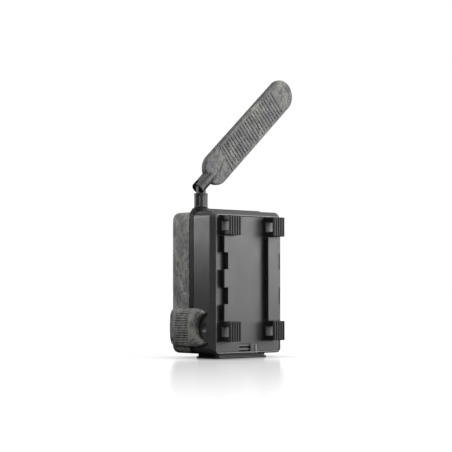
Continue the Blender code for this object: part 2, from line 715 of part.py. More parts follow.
def contacts(name, low_z, facings):
    """A contact strip with a bump for each cell on each of its faces in use: 1 is up and -1 is down."""
    half = (CELL_COLUMNS - 1) / 2 * CELL_PITCH + CELL_RADIUS - MM
    strip = block(
        name,
        (-half, front(CELL_DEPTH) - CONTACT_HALF_WIDTH, low_z),
        (half, front(CELL_DEPTH) + CONTACT_HALF_WIDTH, low_z + CONTACT_THICKNESS),
        "steel",
    )
    bumps = []
    for facing in facings:
        for column in range(CELL_COLUMNS):
            base = Vector((cell_x(column), front(CELL_DEPTH), low_z + CONTACT_THICKNESS / 2))
            profile = [(CONTACT_BUMP_FOOT, 0), (CONTACT_BUMP_TOP, CONTACT_THICKNESS / 2 + CONTACT_BUMP)]
            bumps.append(turned("bump", base, Z_AXIS * facing, profile, "steel", 8))
    return join(strip, *bumps)


def lock():
    """A ribbed slider beside the barred half of its track."""
    low_z = BODY_BOTTOM + GAP
    high_z = BODY_BOTTOM + LOCK_HEIGHT - GAP
    floor_y = front(LOCK_RECESS) + GAP
    track_low = -LOCK_WIDTH / 2 + GAP
    track_high = LOCK_WIDTH / 2 - GAP
    bed_y = floor_y + LOCK_BED
    bar_y = bed_y + LOCK_BAR_HEIGHT
    track = block("lock_track", (track_low, floor_y, low_z), (track_high, bed_y, high_z), "frame_black")
    room = high_z - low_z
    bar = room / (2 * LOCK_TRACK_BARS - 1)
    bars = []
    for i in range(LOCK_TRACK_BARS):
        z = low_z + 2 * i * bar
        low = (track_low + LOCK_STEP, floor_y + LOCK_BED / 2, z + LOCK_STEP)
        high = (track_high - LOCK_STEP, bar_y, z + bar - LOCK_STEP)
        bars.append(block("bar", low, high, "frame_black"))
    join(track, *bars)
    slider_y = bar_y + GAP
    slider_low = -LOCK_WIDTH / 2 + 2 * GAP
    slider_top_y = BACK_Y + LOCK_PROUD
    slider = block(
        "lock_slider",
        (slider_low, slider_y, low_z),
        (slider_low + LOCK_SLIDER_WIDTH, slider_top_y, high_z),
        "housing_dark",
    )
    ribs = []
    for i in range(2):
        x = slider_low + LOCK_SLIDER_WIDTH * (0.3 + 0.4 * i)
        low = (x - LOCK_SLIDER_RIB / 2, slider_top_y - LOCK_PROUD, low_z + GAP)
        high = (x + LOCK_SLIDER_RIB / 2, slider_top_y + LOCK_RIB_HEIGHT, high_z - GAP)
        ribs.append(block("rib", low, high, "housing_dark"))
    join(slider, *ribs)
    return set_pivot(slider, (slider_low + LOCK_SLIDER_WIDTH / 2, slider_y, low_z))


def catch_corners():
    """The low and high corners of the catch that the latch's inner face passes over."""
    centre_y = front(REAR_DEPTH - CATCH_SETBACK)
    centre_z = LATCH_MIDDLE
    low = Vector((HALF_WIDTH - WALL / 2, centre_y - CATCH_SIZE.y / 2, centre_z - CATCH_SIZE.z / 2))
    high = Vector((HALF_WIDTH + CATCH_SIZE.x, centre_y + CATCH_SIZE.y / 2, centre_z + CATCH_SIZE.z / 2))
    return low, high


# Front half


def mid_frame():
    inner = HALF_WIDTH - INNER_HALF_WIDTH
    lip = WALL + 2 * GAP
    groove_out = SEAL_LAND
    groove_in = groove_out + SEAL_WIDTH + 2 * GAP
    ridge = {"raise_top": RIDGE_HEIGHT}
    groove = FRAME_BACK + SEAL_GROOVE_DEPTH
    rings = [
        body_ring(FRAME_FRONT, 0, **ridge),
        body_ring(FRAME_BACK, 0, **ridge),
        body_ring(FRAME_BACK, groove_out),
        body_ring(groove, groove_out),
        body_ring(groove, groove_in),
        body_ring(FRAME_BACK, groove_in),
        body_ring(FRAME_BACK, lip),
        body_ring(FRAME_BACK - FRAME_LIP, lip),
        body_ring(FRAME_BACK - FRAME_LIP, inner),
        body_ring(FRAME_FRONT, inner),
    ]
    for ring in rings[:2]:
        for point in ring:
            point.z = min(point.z, RIDGE_TOP)
    frame = loft("mid_frame", rings, "frame_black", closed=True)
    boss = block(
        "boss",
        (ANTENNA_X - BOSS_WIDTH / 2, front(ANTENNA_DEPTH) - BOSS_DEPTH / 2, BODY_TOP + GAP),
        (ANTENNA_X + BOSS_WIDTH / 2, front(ANTENNA_DEPTH) + BOSS_DEPTH / 2, RIDGE_TOP),
        "frame_black",
    )
    stations = []
    for z in (HINGE_LOWER_Z, HINGE_UPPER_Z):
        stations += [z - KNUCKLE_LENGTH - 2 * GAP, z + KNUCKLE_LENGTH + 2 * GAP]
    lugs = [knuckle("lug", z, -1, "frame_black") for z in stations]
    join(frame, boss, *lugs)
    hole_low = Vector((ANTENNA_X, front(ANTENNA_DEPTH), BODY_TOP - 3 * WALL))
    hole_high = Vector((ANTENNA_X, front(ANTENNA_DEPTH), RIDGE_TOP + MM))
    return cut(frame, rod("hole", hole_low, hole_high, CONNECTOR_STEM + GAP, "brass"))


def seal():
    inset_out = SEAL_LAND + GAP
    inset_in = inset_out + SEAL_WIDTH
    near = FRAME_BACK + SEAL_GROOVE_DEPTH - GAP
    far = near - SEAL_THICKNESS
    rings = [
        body_ring(near, inset_out),
        body_ring(far, inset_out),
        body_ring(far, inset_in),
        body_ring(near, inset_in),
    ]
    return loft("door_seal", rings, "rubber", closed=True)


def hinge_pins():
    reach = KNUCKLE_LENGTH * 1.5 + 2 * GAP
    for name, z in (("hinge_pin_lower", HINGE_LOWER_Z), ("hinge_pin_upper", HINGE_UPPER_Z)):
        start = Vector((HINGE_X, front(SEAM_DEPTH), z - reach))
        rod(name, start, start + Z_AXIS * 2 * reach, HINGE_PIN_RADIUS, "steel", 16)


def latch_pivot():
    return Vector((HALF_WIDTH + LATCH_CLEARANCE + LATCH_THICKNESS / 2, front(LATCH_PIVOT_DEPTH), 0))


def latch_ear_heights():
    low = LATCH_BOTTOM + LATCH_EAR_INSET
    return (low, LATCH_BOTTOM + LATCH_HEIGHT - LATCH_EAR_INSET - LATCH_EAR)


def cover_ring(depth, inset):
    return body_ring(depth, inset, raise_top=-COVER_TOP_STEP)


def front_cover():
    rings = [cover_ring(COVER_BACK, 0)]
    flat = COVER_FRONT - FRONT_ROUNDING
    for i in range(FRONT_ROUNDING_STEPS + 1):
        angle = math.radians(90 * i / FRONT_ROUNDING_STEPS)
        depth = flat + FRONT_ROUNDING * math.sin(angle)
        rings.append(cover_ring(depth, FRONT_ROUNDING * (1 - math.cos(angle))))
    rings += [
        cover_ring(COVER_FRONT - WALL, FRONT_ROUNDING),
        cover_ring(flat - WALL / 2, WALL),
        cover_ring(COVER_BACK, WALL),
    ]
    cover = loft("front_cover", rings, "housing_camo", closed=True)
    close_front(cover, FRONT_ROUNDING_STEPS)
    pivot = latch_pivot()
    ears = []
    for low in latch_ear_heights():
        outline = [Vector((pivot.x + u, pivot.y + v, low)) for u, v in arc(LATCH_EAR_RADIUS, -90, 90, 8)]
        outline += [
            Vector((HALF_WIDTH - WALL, pivot.y + LATCH_EAR_RADIUS, low)),
            Vector((HALF_WIDTH - WALL, pivot.y - LATCH_EAR_RADIUS, low)),
        ]
        ears.append(prism("ear", outline, Z_AXIS * LATCH_EAR, "housing_camo"))
    join(cover, *ears)
    inside = COVER_FRONT - 3 * WALL
    seat_size = (FASCIA_WIDTH / 2 + GAP, FASCIA_BOTTOM - GAP, FASCIA_TOP + GAP)
    tools = [
        prism_window("seat", *seat_size, FASCIA_RADIUS, FASCIA_BACK - GAP),
        face_hole("lens_hole", 0, LENS_Z, LENS_BORE + GAP, inside),
        face_hole("pir_hole", 0, PIR_Z, PIR_RADIUS + GAP, inside),
        prism_window("led_hole", *window_size(-2 * GAP), WINDOW_RADIUS, inside),
        face_hole("light_hole", STATUS_LIGHT_X, LENS_Z, STATUS_LIGHT_RADIUS + GAP, inside),
    ]
    pin_low = latch_pivot() + Z_AXIS * (LATCH_BOTTOM - MM)
    pin_high = latch_pivot() + Z_AXIS * (LATCH_BOTTOM + LATCH_HEIGHT + MM)
    tools.append(rod("pin_hole", pin_low, pin_high, LATCH_PIN_RADIUS + GAP, "steel"))
    return cut(cover, *tools)


def close_front(cover, outer_ring):
    """Fills the front wall's outer and inner faces, which the closed loft leaves joined by a strip."""
    bm = bmesh.new()
    bm.from_mesh(cover.data)
    bm.verts.ensure_lookup_table()
    count = 4 * (CORNER_STEPS + 1)
    outer = [bm.verts[(outer_ring + 1) * count + i] for i in range(count)]
    inner = [bm.verts[(outer_ring + 2) * count + i] for i in range(count)]
    for i in range(count):
        j = (i + 1) % count
        strip = bm.faces.get((outer[i], outer[j], inner[j], inner[i]))
        bm.faces.remove(strip)
    bm.faces.new(outer)
    bm.faces.new(inner)
    bmesh.ops.recalc_face_normals(bm, faces=bm.faces)
    bm.to_mesh(cover.data)
    bm.free()


def prism_window(name, half_width, bottom, top, radius, depth):
    """A rounded cutter from this depth out through the front."""
    outline = rounded_outline(depth, half_width, bottom, top, radius)
    return prism(name, outline, -Y_AXIS * (COVER_FRONT + 2 * MM - depth), "frame_black")


def face_hole(name, x, z, radius, depth):
    """A round cutter from this depth out through the front."""
    return rod(name, (x, front(COVER_FRONT + 2 * MM), z), (x, front(depth), z), radius, "frame_black", 32)


def window_size(margin):
    """Half width, bottom and top of the infrared window, made larger by a margin."""
    half_height = WINDOW_HEIGHT / 2 + margin
    return WINDOW_WIDTH / 2 + margin, WINDOW_Z - half_height, WINDOW_Z + half_height


def front_fascia():
    half = FASCIA_WIDTH / 2
    rings = []
    for depth, edge in (
        (FASCIA_BACK, 0),
        (FASCIA_FRONT - FASCIA_EDGE, 0),
        (FASCIA_FRONT, FASCIA_EDGE),
    ):
        size = (half - edge, FASCIA_BOTTOM + edge, FASCIA_TOP - edge)
        rings.append(rounded_outline(depth, *size, FASCIA_RADIUS - edge))
    behind = FASCIA_BACK - MM
    return cut(
        loft("front_fascia", rings, "frame_black"),
        face_hole("lens_hole", 0, LENS_Z, LENS_BORE + GAP, behind),
        face_hole("pir_hole", 0, PIR_Z, PIR_RADIUS + GAP, behind),
        prism_window("window_hole", *window_size(GAP), WINDOW_RADIUS, behind),
        face_hole("light_hole", STATUS_LIGHT_X, LENS_Z, STATUS_LIGHT_RADIUS + GAP, behind),
    )


def ir_parts():
    outline = rounded_outline(FASCIA_BACK, *window_size(0), WINDOW_RADIUS - GAP, steps=3)
    prism("ir_window", outline, -Y_AXIS * WINDOW_THICKNESS, "glass")
    board_front = COVER_FRONT - LED_BOARD_SETBACK
    half, bottom, top = window_size(0)
    board = block(
        "ir_led_board",
        (-half, front(board_front), bottom),
        (half, front(board_front - BOARD_THICKNESS), top),
        "circuit",
    )
    leds = []
    for row in range(LED_ROWS):
        for column in range(LED_COLUMNS):
            x = (column - (LED_COLUMNS - 1) / 2) * LED_PITCH
            z = WINDOW_Z + (row - (LED_ROWS - 1) / 2) * LED_PITCH
            base = Vector((x, front(board_front - BOARD_THICKNESS / 2), z))
            profile = [(LED_RADIUS, 0), (LED_RADIUS, LED_HEIGHT - LED_CROWN), (LED_RADIUS * 0.6, LED_HEIGHT)]
            leds.append(turned("led", base, -Y_AXIS, profile, "circuit", 8))
    return join(board, *leds)


def lens_parts():
    centre = Vector((0, 0, LENS_Z))
    length = BEZEL_SUNK + BEZEL_PROUD
    profile = [
        (BEZEL_OUTER, 0),
        (BEZEL_OUTER, length - BEZEL_ROUND),
        (BEZEL_OUTER - BEZEL_ROUND, length),
        (BEZEL_INNER + BEZEL_FUNNEL, length),
        (BEZEL_INNER, length - BEZEL_FUNNEL),
        (BEZEL_INNER, 0),
    ]
    bezel_centre = centre + Y_AXIS * front(COVER_FRONT - BEZEL_SUNK)
    turned("lens_bezel", bezel_centre, -Y_AXIS, profile, "gloss_black", 32, closed=True)
    tube(
        "lens_barrel",
        centre + Y_AXIS * front(BARREL_FRONT - BARREL_LENGTH),
        centre + Y_AXIS * front(BARREL_FRONT),
        BARREL_RADIUS - BARREL_WALL,
        BARREL_RADIUS,
        "frame_black",
        24,
    )
    glass_radius = BARREL_RADIUS - BARREL_WALL - GAP
    dome = [(glass_radius, 0), (glass_radius, GLASS_THICKNESS / 2), (glass_radius * 0.6, GLASS_THICKNESS)]
    glass_centre = centre + Y_AXIS * front(BARREL_FRONT - GLASS_SETBACK)
    turned("lens_glass", glass_centre, -Y_AXIS, dome, "glass", 24)
    board_front = BARREL_FRONT - BARREL_LENGTH - GAP
    half = SENSOR_BOARD_SIZE / 2
    sensor_board = block(
        "sensor_board",
        (-half, front(board_front), LENS_Z - half),
        (half, front(board_front - BOARD_THICKNESS), LENS_Z + half),
        "circuit",
    )
    chip = block(
        "chip",
        (-IMAGE_CHIP / 2, front(board_front + IMAGE_CHIP_HEIGHT), LENS_Z - IMAGE_CHIP / 2),
        (IMAGE_CHIP / 2, front(board_front - BOARD_THICKNESS / 2), LENS_Z + IMAGE_CHIP / 2),
        "circuit",
    )
    join(sensor_board, chip)


def pir_parts():
    """A domed motion-sensor lens: a thin skin, open at the back, over its sensor can."""
    steps = 4
    outer = [(PIR_RADIUS, 0)]
    inner = [(PIR_RADIUS - PIR_SKIN, 0)]
    for i in range(steps):
        angle = math.radians(90 * i / steps)
        across = math.cos(angle)
        up = math.sin(angle)
        outer.append((PIR_RADIUS * across, PIR_RIM + PIR_DOME * up))
        inner.append(((PIR_RADIUS - PIR_SKIN) * across, PIR_RIM + (PIR_DOME - PIR_SKIN) * up))
    centre = Vector((0, front(COVER_FRONT - PIR_RIM), PIR_Z))
    turned("pir_lens", centre, -Y_AXIS, outer + inner[::-1], "lens_white", 24, closed=True)
    lens = bpy.data.objects["pir_lens"]
    close_dome(lens, len(outer), 24)
    can = [(PIR_SENSOR_RADIUS, 0), (PIR_SENSOR_RADIUS, PIR_SENSOR_HEIGHT)]
    can_base = (0, front(COVER_FRONT - PIR_SENSOR_SETBACK), PIR_Z)
    turned("pir_sensor", can_base, -Y_AXIS, can, "steel", 16)
    light = [(STATUS_LIGHT_RADIUS, 0), (STATUS_LIGHT_RADIUS, STATUS_LIGHT_LENGTH)]
    light_base = (STATUS_LIGHT_X, front(FASCIA_FRONT + STATUS_LIGHT_PROUD - STATUS_LIGHT_LENGTH), LENS_Z)
    turned("status_light", light_base, -Y_AXIS, light, "lens_white", 12)


def close_dome(obj, outer_rings, count):
    """Fills the dome's crown outside and inside in place of the strip that joined them."""
    bm = bmesh.new()
    bm.from_mesh(obj.data)
    bm.verts.ensure_lookup_table()
    outer = [bm.verts[(outer_rings - 1) * count + i] for i in range(count)]
    inner = [bm.verts[outer_rings * count + i] for i in range(count)]
    for i in range(count):
        j = (i + 1) % count
        bm.faces.remove(bm.faces.get((outer[i], outer[j], inner[j], inner[i])))
    bm.faces.new(outer)
    bm.faces.new(inner)
    bmesh.ops.recalc_face_normals(bm, faces=bm.faces)
    bm.to_mesh(obj.data)
    bm.free()


def latch_section(depth, inner, outer, height):
    """A D-shaped section of the lever, flat inside and crowned outside, from inner to outer."""
    side_x = HALF_WIDTH + LATCH_CLEARANCE
    middle = LATCH_MIDDLE
    edge = inner + min(LATCH_EDGE, (outer - inner) * 0.6)
    points = [Vector((side_x + inner, front(depth), middle - height / 2))]
    for i in range(LATCH_CROWN_STEPS + 1):
        t = -math.cos(math.pi * i / LATCH_CROWN_STEPS)
        crown = (1 - abs(t) ** 3.2) ** (1 / 2.2)
        points.append(Vector((side_x + edge + (outer - edge) * crown, front(depth), middle + t * height / 2)))
    points.append(Vector((side_x + inner, front(depth), middle + height / 2)))
    return points


def latch():
    pivot = latch_pivot()
    reach = LATCH_THICKNESS / 2
    front_end = LATCH_PIVOT_DEPTH + reach
    rings = [latch_section(LATCH_TAIL_DEPTH, 0, LATCH_TAIL_THICKNESS, LATCH_HEIGHT * 0.72)]
    for share, height in ((0.12, 0.87), (0.25, 0.95), (0.4, 0.99), (0.75, 1.0)):
        depth = LATCH_TAIL_DEPTH + (LATCH_RIB_START - LATCH_TAIL_DEPTH) * share
        swell = (LATCH_THICKNESS - LATCH_TAIL_THICKNESS) * math.sin(share * math.pi / 2)
        rings.append(latch_section(depth, 0, LATCH_TAIL_THICKNESS + swell, LATCH_HEIGHT * height))
    rings.append(latch_section(LATCH_RIB_START, 0, LATCH_THICKNESS, LATCH_HEIGHT))
    for angle in (0, 30, 55, 75):
        turn = math.radians(angle)
        depth = LATCH_PIVOT_DEPTH + reach * math.sin(turn)
        sections = (reach - reach * math.cos(turn), reach + reach * math.cos(turn))
        rings.append(latch_section(depth, *sections, LATCH_HEIGHT))
    lever = loft("latch_lever", rings, "housing_camo")
    middle_z = LATCH_MIDDLE
    notch = rod(
        "notch",
        (HALF_WIDTH - MM, front(LATCH_NOTCH_DEPTH), middle_z),
        (HALF_WIDTH + 2 * LATCH_THICKNESS, front(LATCH_NOTCH_DEPTH), middle_z),
        LATCH_NOTCH_RADIUS,
        "housing_camo",
        32,
    )
    tools = [notch]
    outer_x = HALF_WIDTH + LATCH_CLEARANCE + LATCH_THICKNESS
    for i in range(LATCH_RIBS):
        z = middle_z + (i - (LATCH_RIBS - 1) / 2) * LATCH_RIB_PITCH
        low = (outer_x - LATCH_RIB_DEPTH, front(LATCH_RIB_END), z - LATCH_RIB_PITCH / 4)
        high = (outer_x + MM, front(LATCH_RIB_START), z + LATCH_RIB_PITCH / 4)
        tools.append(block("groove", low, high, "housing_camo"))
    for low_z in latch_ear_heights():
        low = (HALF_WIDTH, front(front_end + MM), low_z - GAP)
        high = (outer_x + MM, pivot.y + LATCH_THICKNESS / 2 + GAP, low_z + LATCH_EAR + GAP)
        tools.append(block("ear_room", low, high, "housing_camo"))
    catch_low, catch_high = catch_corners()
    room_low = (HALF_WIDTH, catch_low.y - GAP, catch_low.z - GAP)
    room_high = (catch_high.x + GAP, BACK_Y, catch_high.z + GAP)
    tools.append(block("catch_room", room_low, room_high, "housing_camo"))
    ends = (pivot + Z_AXIS * (LATCH_BOTTOM - MM), pivot + Z_AXIS * (LATCH_BOTTOM + LATCH_HEIGHT + MM))
    tools.append(rod("bore", *ends, LATCH_PIN_RADIUS + GAP, "steel"))
    cut(lever, *tools)
    set_pivot(lever, (pivot.x, pivot.y, middle_z))
    rod(
        "latch_pin",
        pivot + Z_AXIS * (LATCH_BOTTOM + LATCH_PIN_INSET),
        pivot + Z_AXIS * (LATCH_BOTTOM + LATCH_HEIGHT - LATCH_PIN_INSET),
        LATCH_PIN_RADIUS,
        "steel",
    )


def key_places():
    return {
        "key_ok": (0, 0),
        "key_up": (0, 1),
        "key_down": (0, -1),
        "key_left": (1, 0),
        "key_right": (-1, 0),
    }


def key_centre(step):
    return Vector((KEYS_X + step[0] * KEY_PITCH, 0, KEYS_Z + step[1] * KEY_PITCH))


def inner_panel():
    """The control panel behind the seam, with openings for the display, keys, switch and connector."""
    inset = HALF_WIDTH - INNER_HALF_WIDTH + GAP
    panel = prism("control_panel", body_ring(PANEL_BACK, inset), -Y_AXIS * PANEL_THICKNESS, "frame_black")
    half = Vector((DISPLAY_WIDTH / 2 - DISPLAY_FRAME, 0, DISPLAY_HEIGHT / 2 - DISPLAY_FRAME))
    near = front(PANEL_BACK - MM)
    far = front(PANEL_FRONT + MM)
    tools = [
        block(
            "display_hole",
            (-half.x, far, DISPLAY_Z - half.z),
            (half.x, near, DISPLAY_Z + half.z),
            "glass",
        ),
        block(
            "switch_slot",
            (SWITCH_X - SWITCH_WIDTH / 2 - GAP, far, SWITCH_Z - SWITCH_HEIGHT / 2 - GAP),
            (SWITCH_X + SWITCH_WIDTH / 2 + SWITCH_TRAVEL + GAP, near, SWITCH_Z + SWITCH_HEIGHT / 2 + GAP),
            "glass",
        ),
        block(
            "connector_room",
            (ANTENNA_X - CONNECTOR_FLANGE - MM, far, BODY_TOP - CONNECTOR_ROOM),
            (HALF_WIDTH, near, BODY_TOP),
            "glass",
        ),
    ]
    for step in key_places().values():
        centre = key_centre(step)
        ends = (Vector((centre.x, near, centre.z)), Vector((centre.x, far, centre.z)))
        tools.append(rod("key_hole", *ends, KEY_RADIUS + GAP, "frame_black"))
    return cut(panel, *tools)


def display():
    back = PANEL_FRONT + GAP
    half = Vector((DISPLAY_WIDTH / 2, 0, DISPLAY_HEIGHT / 2))
    body = block(
        "display",
        (-half.x, front(back + DISPLAY_THICKNESS), DISPLAY_Z - half.z),
        (half.x, front(back), DISPLAY_Z + half.z),
        "gloss_black",
    )
    edge = DISPLAY_FRAME + GAP
    pane = block(
        "pane",
        (-half.x + edge, front(back + MM), DISPLAY_Z - half.z + edge),
        (half.x - edge, front(PANEL_BACK + DISPLAY_SETBACK), DISPLAY_Z + half.z - edge),
        "gloss_black",
    )
    return join(body, pane)


def keys():
    for name, step in key_places().items():
        centre = key_centre(step)
        base = Vector((centre.x, front(PANEL_FRONT + GAP + KEY_FLANGE_THICKNESS), centre.z))
        height = KEY_FLANGE_THICKNESS + GAP + PANEL_THICKNESS + KEY_RISE
        profile = [
            (KEY_FLANGE, 0),
            (KEY_FLANGE, KEY_FLANGE_THICKNESS),
            (KEY_RADIUS, KEY_FLANGE_THICKNESS),
            (KEY_RADIUS, height - KEY_CHAMFER),
            (KEY_RADIUS - KEY_CHAMFER, height),
        ]
        set_pivot(turned(name, base, Y_AXIS, profile, "rubber", 16), base)


def power_switch():
    plate_low = front(PANEL_FRONT + GAP + SWITCH_PLATE)
    plate_high = front(PANEL_FRONT + GAP)
    margin = SWITCH_MARGIN
    plate = block(
        "power_switch",
        (SWITCH_X - SWITCH_WIDTH / 2 - margin, plate_low, SWITCH_Z - SWITCH_HEIGHT / 2 - margin),
        (SWITCH_X + SWITCH_WIDTH / 2 + margin, plate_high, SWITCH_Z + SWITCH_HEIGHT / 2 + margin),
        "frame_black",
    )
    knob = block(
        "knob",
        (SWITCH_X - SWITCH_WIDTH / 2, plate_low + SWITCH_PLATE / 2, SWITCH_Z - SWITCH_HEIGHT / 2),
        (SWITCH_X + SWITCH_WIDTH / 2, front(PANEL_BACK - SWITCH_PROUD), SWITCH_Z + SWITCH_HEIGHT / 2),
        "frame_black",
        bevel=SWITCH_BEVEL,
    )
    join(plate, knob)
    return set_pivot(plate, (SWITCH_X, plate_high, SWITCH_Z))


def card_parts():
    """A memory card in a socket open upwards; the card pulls out along +Z."""
    socket_back = PANEL_BACK - GAP
    thickness = CARD_THICKNESS + 2 * GAP + 2 * SOCKET_WALL
    half = CARD_WIDTH / 2 + GAP + SOCKET_WALL
    top = CARD_Z + CARD_HEIGHT - CARD_SHOWING
    low_z = CARD_Z - GAP - SOCKET_WALL
    socket = block(
        "card_socket",
        (CARD_X - half, front(socket_back), low_z),
        (CARD_X + half, front(socket_back - thickness), top),
        "steel",
    )
    room = block(
        "room",
        (CARD_X - CARD_WIDTH / 2 - GAP, front(socket_back - SOCKET_WALL), CARD_Z - GAP),
        (
            CARD_X + CARD_WIDTH / 2 + GAP,
            front(socket_back - SOCKET_WALL - CARD_THICKNESS - 2 * GAP),
            top + MM,
        ),
        "steel",
    )
    cut(socket, room)
    card_front = socket_back - SOCKET_WALL - GAP
    outline = [
        (-CARD_WIDTH / 2, 0),
        (CARD_WIDTH / 2 - CARD_CORNER, 0),
        (CARD_WIDTH / 2, CARD_CORNER),
        (CARD_WIDTH / 2, CARD_HEIGHT),
        (-CARD_WIDTH / 2, CARD_HEIGHT),
    ]
    points = [Vector((CARD_X + x, front(card_front), CARD_Z + z)) for x, z in outline]
    card = prism("memory_card", points, Y_AXIS * CARD_THICKNESS, "card")
    return set_pivot(card, (CARD_X, front(card_front), CARD_Z))


def electronics():
    half = INNER_HALF_WIDTH - MAIN_BOARD_SIDE
    back = MAIN_BOARD_DEPTH
    bottom = BODY_BOTTOM + MAIN_BOARD_RISE
    top = BODY_TOP - MAIN_BOARD_TOP
    face = back + BOARD_THICKNESS
    board = block("main_board", (-half, front(face), bottom), (half, front(back), top), "circuit")
    chips = []
    for x, rise, size in CHIPS:
        reach = size / 2 * MM
        z = bottom + rise * MM
        low = (x * MM - reach, front(face + CHIP_HEIGHT), z - reach)
        high = (x * MM + reach, front(face - BOARD_THICKNESS / 2), z + reach)
        chips.append(block("chip", low, high, "circuit"))
    join(board, *chips)
    modem_low = Vector((MODEM_X, front(face + GAP) - MODEM_SIZE.y, top - MODEM_DROP - MODEM_SIZE.z))
    block("modem", modem_low, modem_low + MODEM_SIZE, "steel")
    return modem_low


def antenna_connector():
    centre = Vector((ANTENNA_X, front(ANTENNA_DEPTH), 0))
    flange_high = BODY_TOP - WALL - FRAME_INNER_WALL - 2 * GAP - CONNECTOR_DROP
    flange_low = flange_high - CONNECTOR_FLANGE_THICKNESS
    profile = [
        (CONNECTOR_FLANGE, flange_low),
        (CONNECTOR_FLANGE, flange_high),
        (CONNECTOR_STEM, flange_high),
        (CONNECTOR_STEM, COLLAR_BOTTOM),
        (CONNECTOR_RADIUS, COLLAR_BOTTOM),
        (CONNECTOR_RADIUS, COLLAR_BOTTOM + CONNECTOR_RISE),
    ]
    turned("antenna_connector", centre, Z_AXIS, profile, "brass", 16)
    return centre + Z_AXIS * flange_low


def coax_lead(modem_low):
    """The lead from the connector down to the modem, on one smooth curve."""
    start = antenna_connector() - Z_AXIS * GAP
    end = modem_low + Vector((MODEM_SIZE.x / 2, -COAX_CLEARANCE - COAX_RADIUS, MODEM_SIZE.z - COAX_OVERLAP))
    handles = (start - Z_AXIS * COAX_START_PULL, end + Z_AXIS * COAX_END_PULL)
    points = []
    steps = 24
    for i in range(steps + 1):
        t = i / steps
        s = 1 - t
        points.append(start * s**3 + handles[0] * 3 * s * s * t + handles[1] * 3 * s * t * t + end * t**3)
    curve = bpy.data.curves.new("coax_lead", "CURVE")
    curve.dimensions = "3D"
    curve.bevel_depth = COAX_RADIUS
    curve.bevel_resolution = 2
    curve.use_fill_caps = True
    spline = curve.splines.new("POLY")
    spline.points.add(steps)
    for place, point in zip(spline.points, points):
        place.co = (*point, 1)
    curve.materials.append(material("rubber"))
    lead = bpy.data.objects.new("coax_lead", curve)
    bpy.context.scene.collection.objects.link(lead)


# Antenna


def pivot_point():
    return Vector((ANTENNA_X, front(ANTENNA_DEPTH), PIVOT_Z))


def blade_direction():
    return Vector((-math.sin(BLADE_TILT), 0, math.cos(BLADE_TILT)))


def blade_across():
    return Vector((math.cos(BLADE_TILT), 0, math.sin(BLADE_TILT)))


def antenna_swivel():
    """The collar that screws on to the connector, with the tongue that the blade folds on."""
    centre = Vector((ANTENNA_X, front(ANTENNA_DEPTH), COLLAR_BOTTOM))
    profile = [
        (COLLAR_RADIUS - COLLAR_CHAMFER / 2, 0),
        (COLLAR_RADIUS, COLLAR_CHAMFER / 2),
        (COLLAR_RADIUS, COLLAR_HEIGHT - COLLAR_CHAMFER),
        (COLLAR_RADIUS - COLLAR_CHAMFER, COLLAR_HEIGHT),
    ]
    collar = turned("antenna_swivel", centre, Z_AXIS, profile, "frame_black")
    pivot = pivot_point()
    top = COLLAR_BOTTOM + COLLAR_HEIGHT
    half = TONGUE_WIDTH / 2
    near = pivot.y - TONGUE_THICKNESS / 2
    outline = [Vector((pivot.x + u, near, pivot.z + v)) for u, v in arc(half, 0, 180, 10)]
    outline += [Vector((pivot.x - half, near, top - MM)), Vector((pivot.x + half, near, top - MM))]
    tongue = prism("tongue", outline, Y_AXIS * TONGUE_THICKNESS, "frame_black")
    join(collar, tongue)
    socket_top = COLLAR_BOTTOM + CONNECTOR_RISE + MM
    socket_ends = (centre - Z_AXIS * MM, Vector((centre.x, centre.y, socket_top)))
    socket = rod("socket", *socket_ends, CONNECTOR_RADIUS + GAP, "brass", 16)
    pin_ends = (pivot - Y_AXIS * TONGUE_THICKNESS, pivot + Y_AXIS * TONGUE_THICKNESS)
    tools = [socket, rod("pin_hole", *pin_ends, ANTENNA_PIN_RADIUS + GAP, "steel")]
    for i in range(COLLAR_FLATS):
        angle = 2 * math.pi * (i + 0.5) / COLLAR_FLATS
        out = Vector((math.cos(angle), math.sin(angle), 0))
        reach = COLLAR_RADIUS + COLLAR_GROOVE_RADIUS - COLLAR_GROOVE_DEPTH
        groove_low = centre + out * reach + Z_AXIS * COLLAR_GROOVE_START
        groove_high = centre + out * reach + Z_AXIS * (COLLAR_HEIGHT - COLLAR_GROOVE_END)
        tools.append(rod("groove", groove_low, groove_high, COLLAR_GROOVE_RADIUS, "frame_black", 8))
    cut(collar, *tools)
    return set_pivot(collar, centre)


def blade_outline(y, inset):
    """The blade's stadium outline, in the plane of its flat faces."""
    start = pivot_point() + blade_direction() * (BLADE_START + inset)
    radius = BLADE_WIDTH / 2 - inset
    near = start + blade_direction() * radius
    far = near + blade_direction() * (BLADE_LENGTH - BLADE_WIDTH)
    points = []
    for centre, turn in ((far, 0), (near, 180)):
        for u, v in arc(radius, turn, turn + 180, BLADE_END_STEPS):
            points.append(centre + blade_across() * u + blade_direction() * v + Y_AXIS * y)
    return points


def blade_half(name, side):
    """One moulded half of the blade, hollow for the radiator."""
    split = GAP / 2
    face = BLADE_THICKNESS / 2
    rings = [
        blade_outline(side * face, 2 * BLADE_EDGE),
        blade_outline(side * (face - BLADE_EDGE * 0.4), BLADE_EDGE * 0.6),
        blade_outline(side * (face - BLADE_EDGE * 1.4), 0),
        blade_outline(side * split, 0),
        blade_outline(side * split, BLADE_WALL),
        blade_outline(side * (face - BLADE_WALL), BLADE_WALL),
    ]
    return set_pivot(loft(name, rings, "housing_camo"), pivot_point())


def radiator():
    start = pivot_point() + blade_direction() * (BLADE_START + (BLADE_LENGTH - RADIATOR_LENGTH) / 2)
    half = blade_across() * RADIATOR_WIDTH / 2
    end = start + blade_direction() * RADIATOR_LENGTH
    sheet = Y_AXIS * RADIATOR_THICKNESS
    outline = [p - sheet / 2 for p in (start - half, start + half, end + half, end - half)]
    set_pivot(prism("antenna_radiator", outline, sheet, "circuit"), pivot_point())


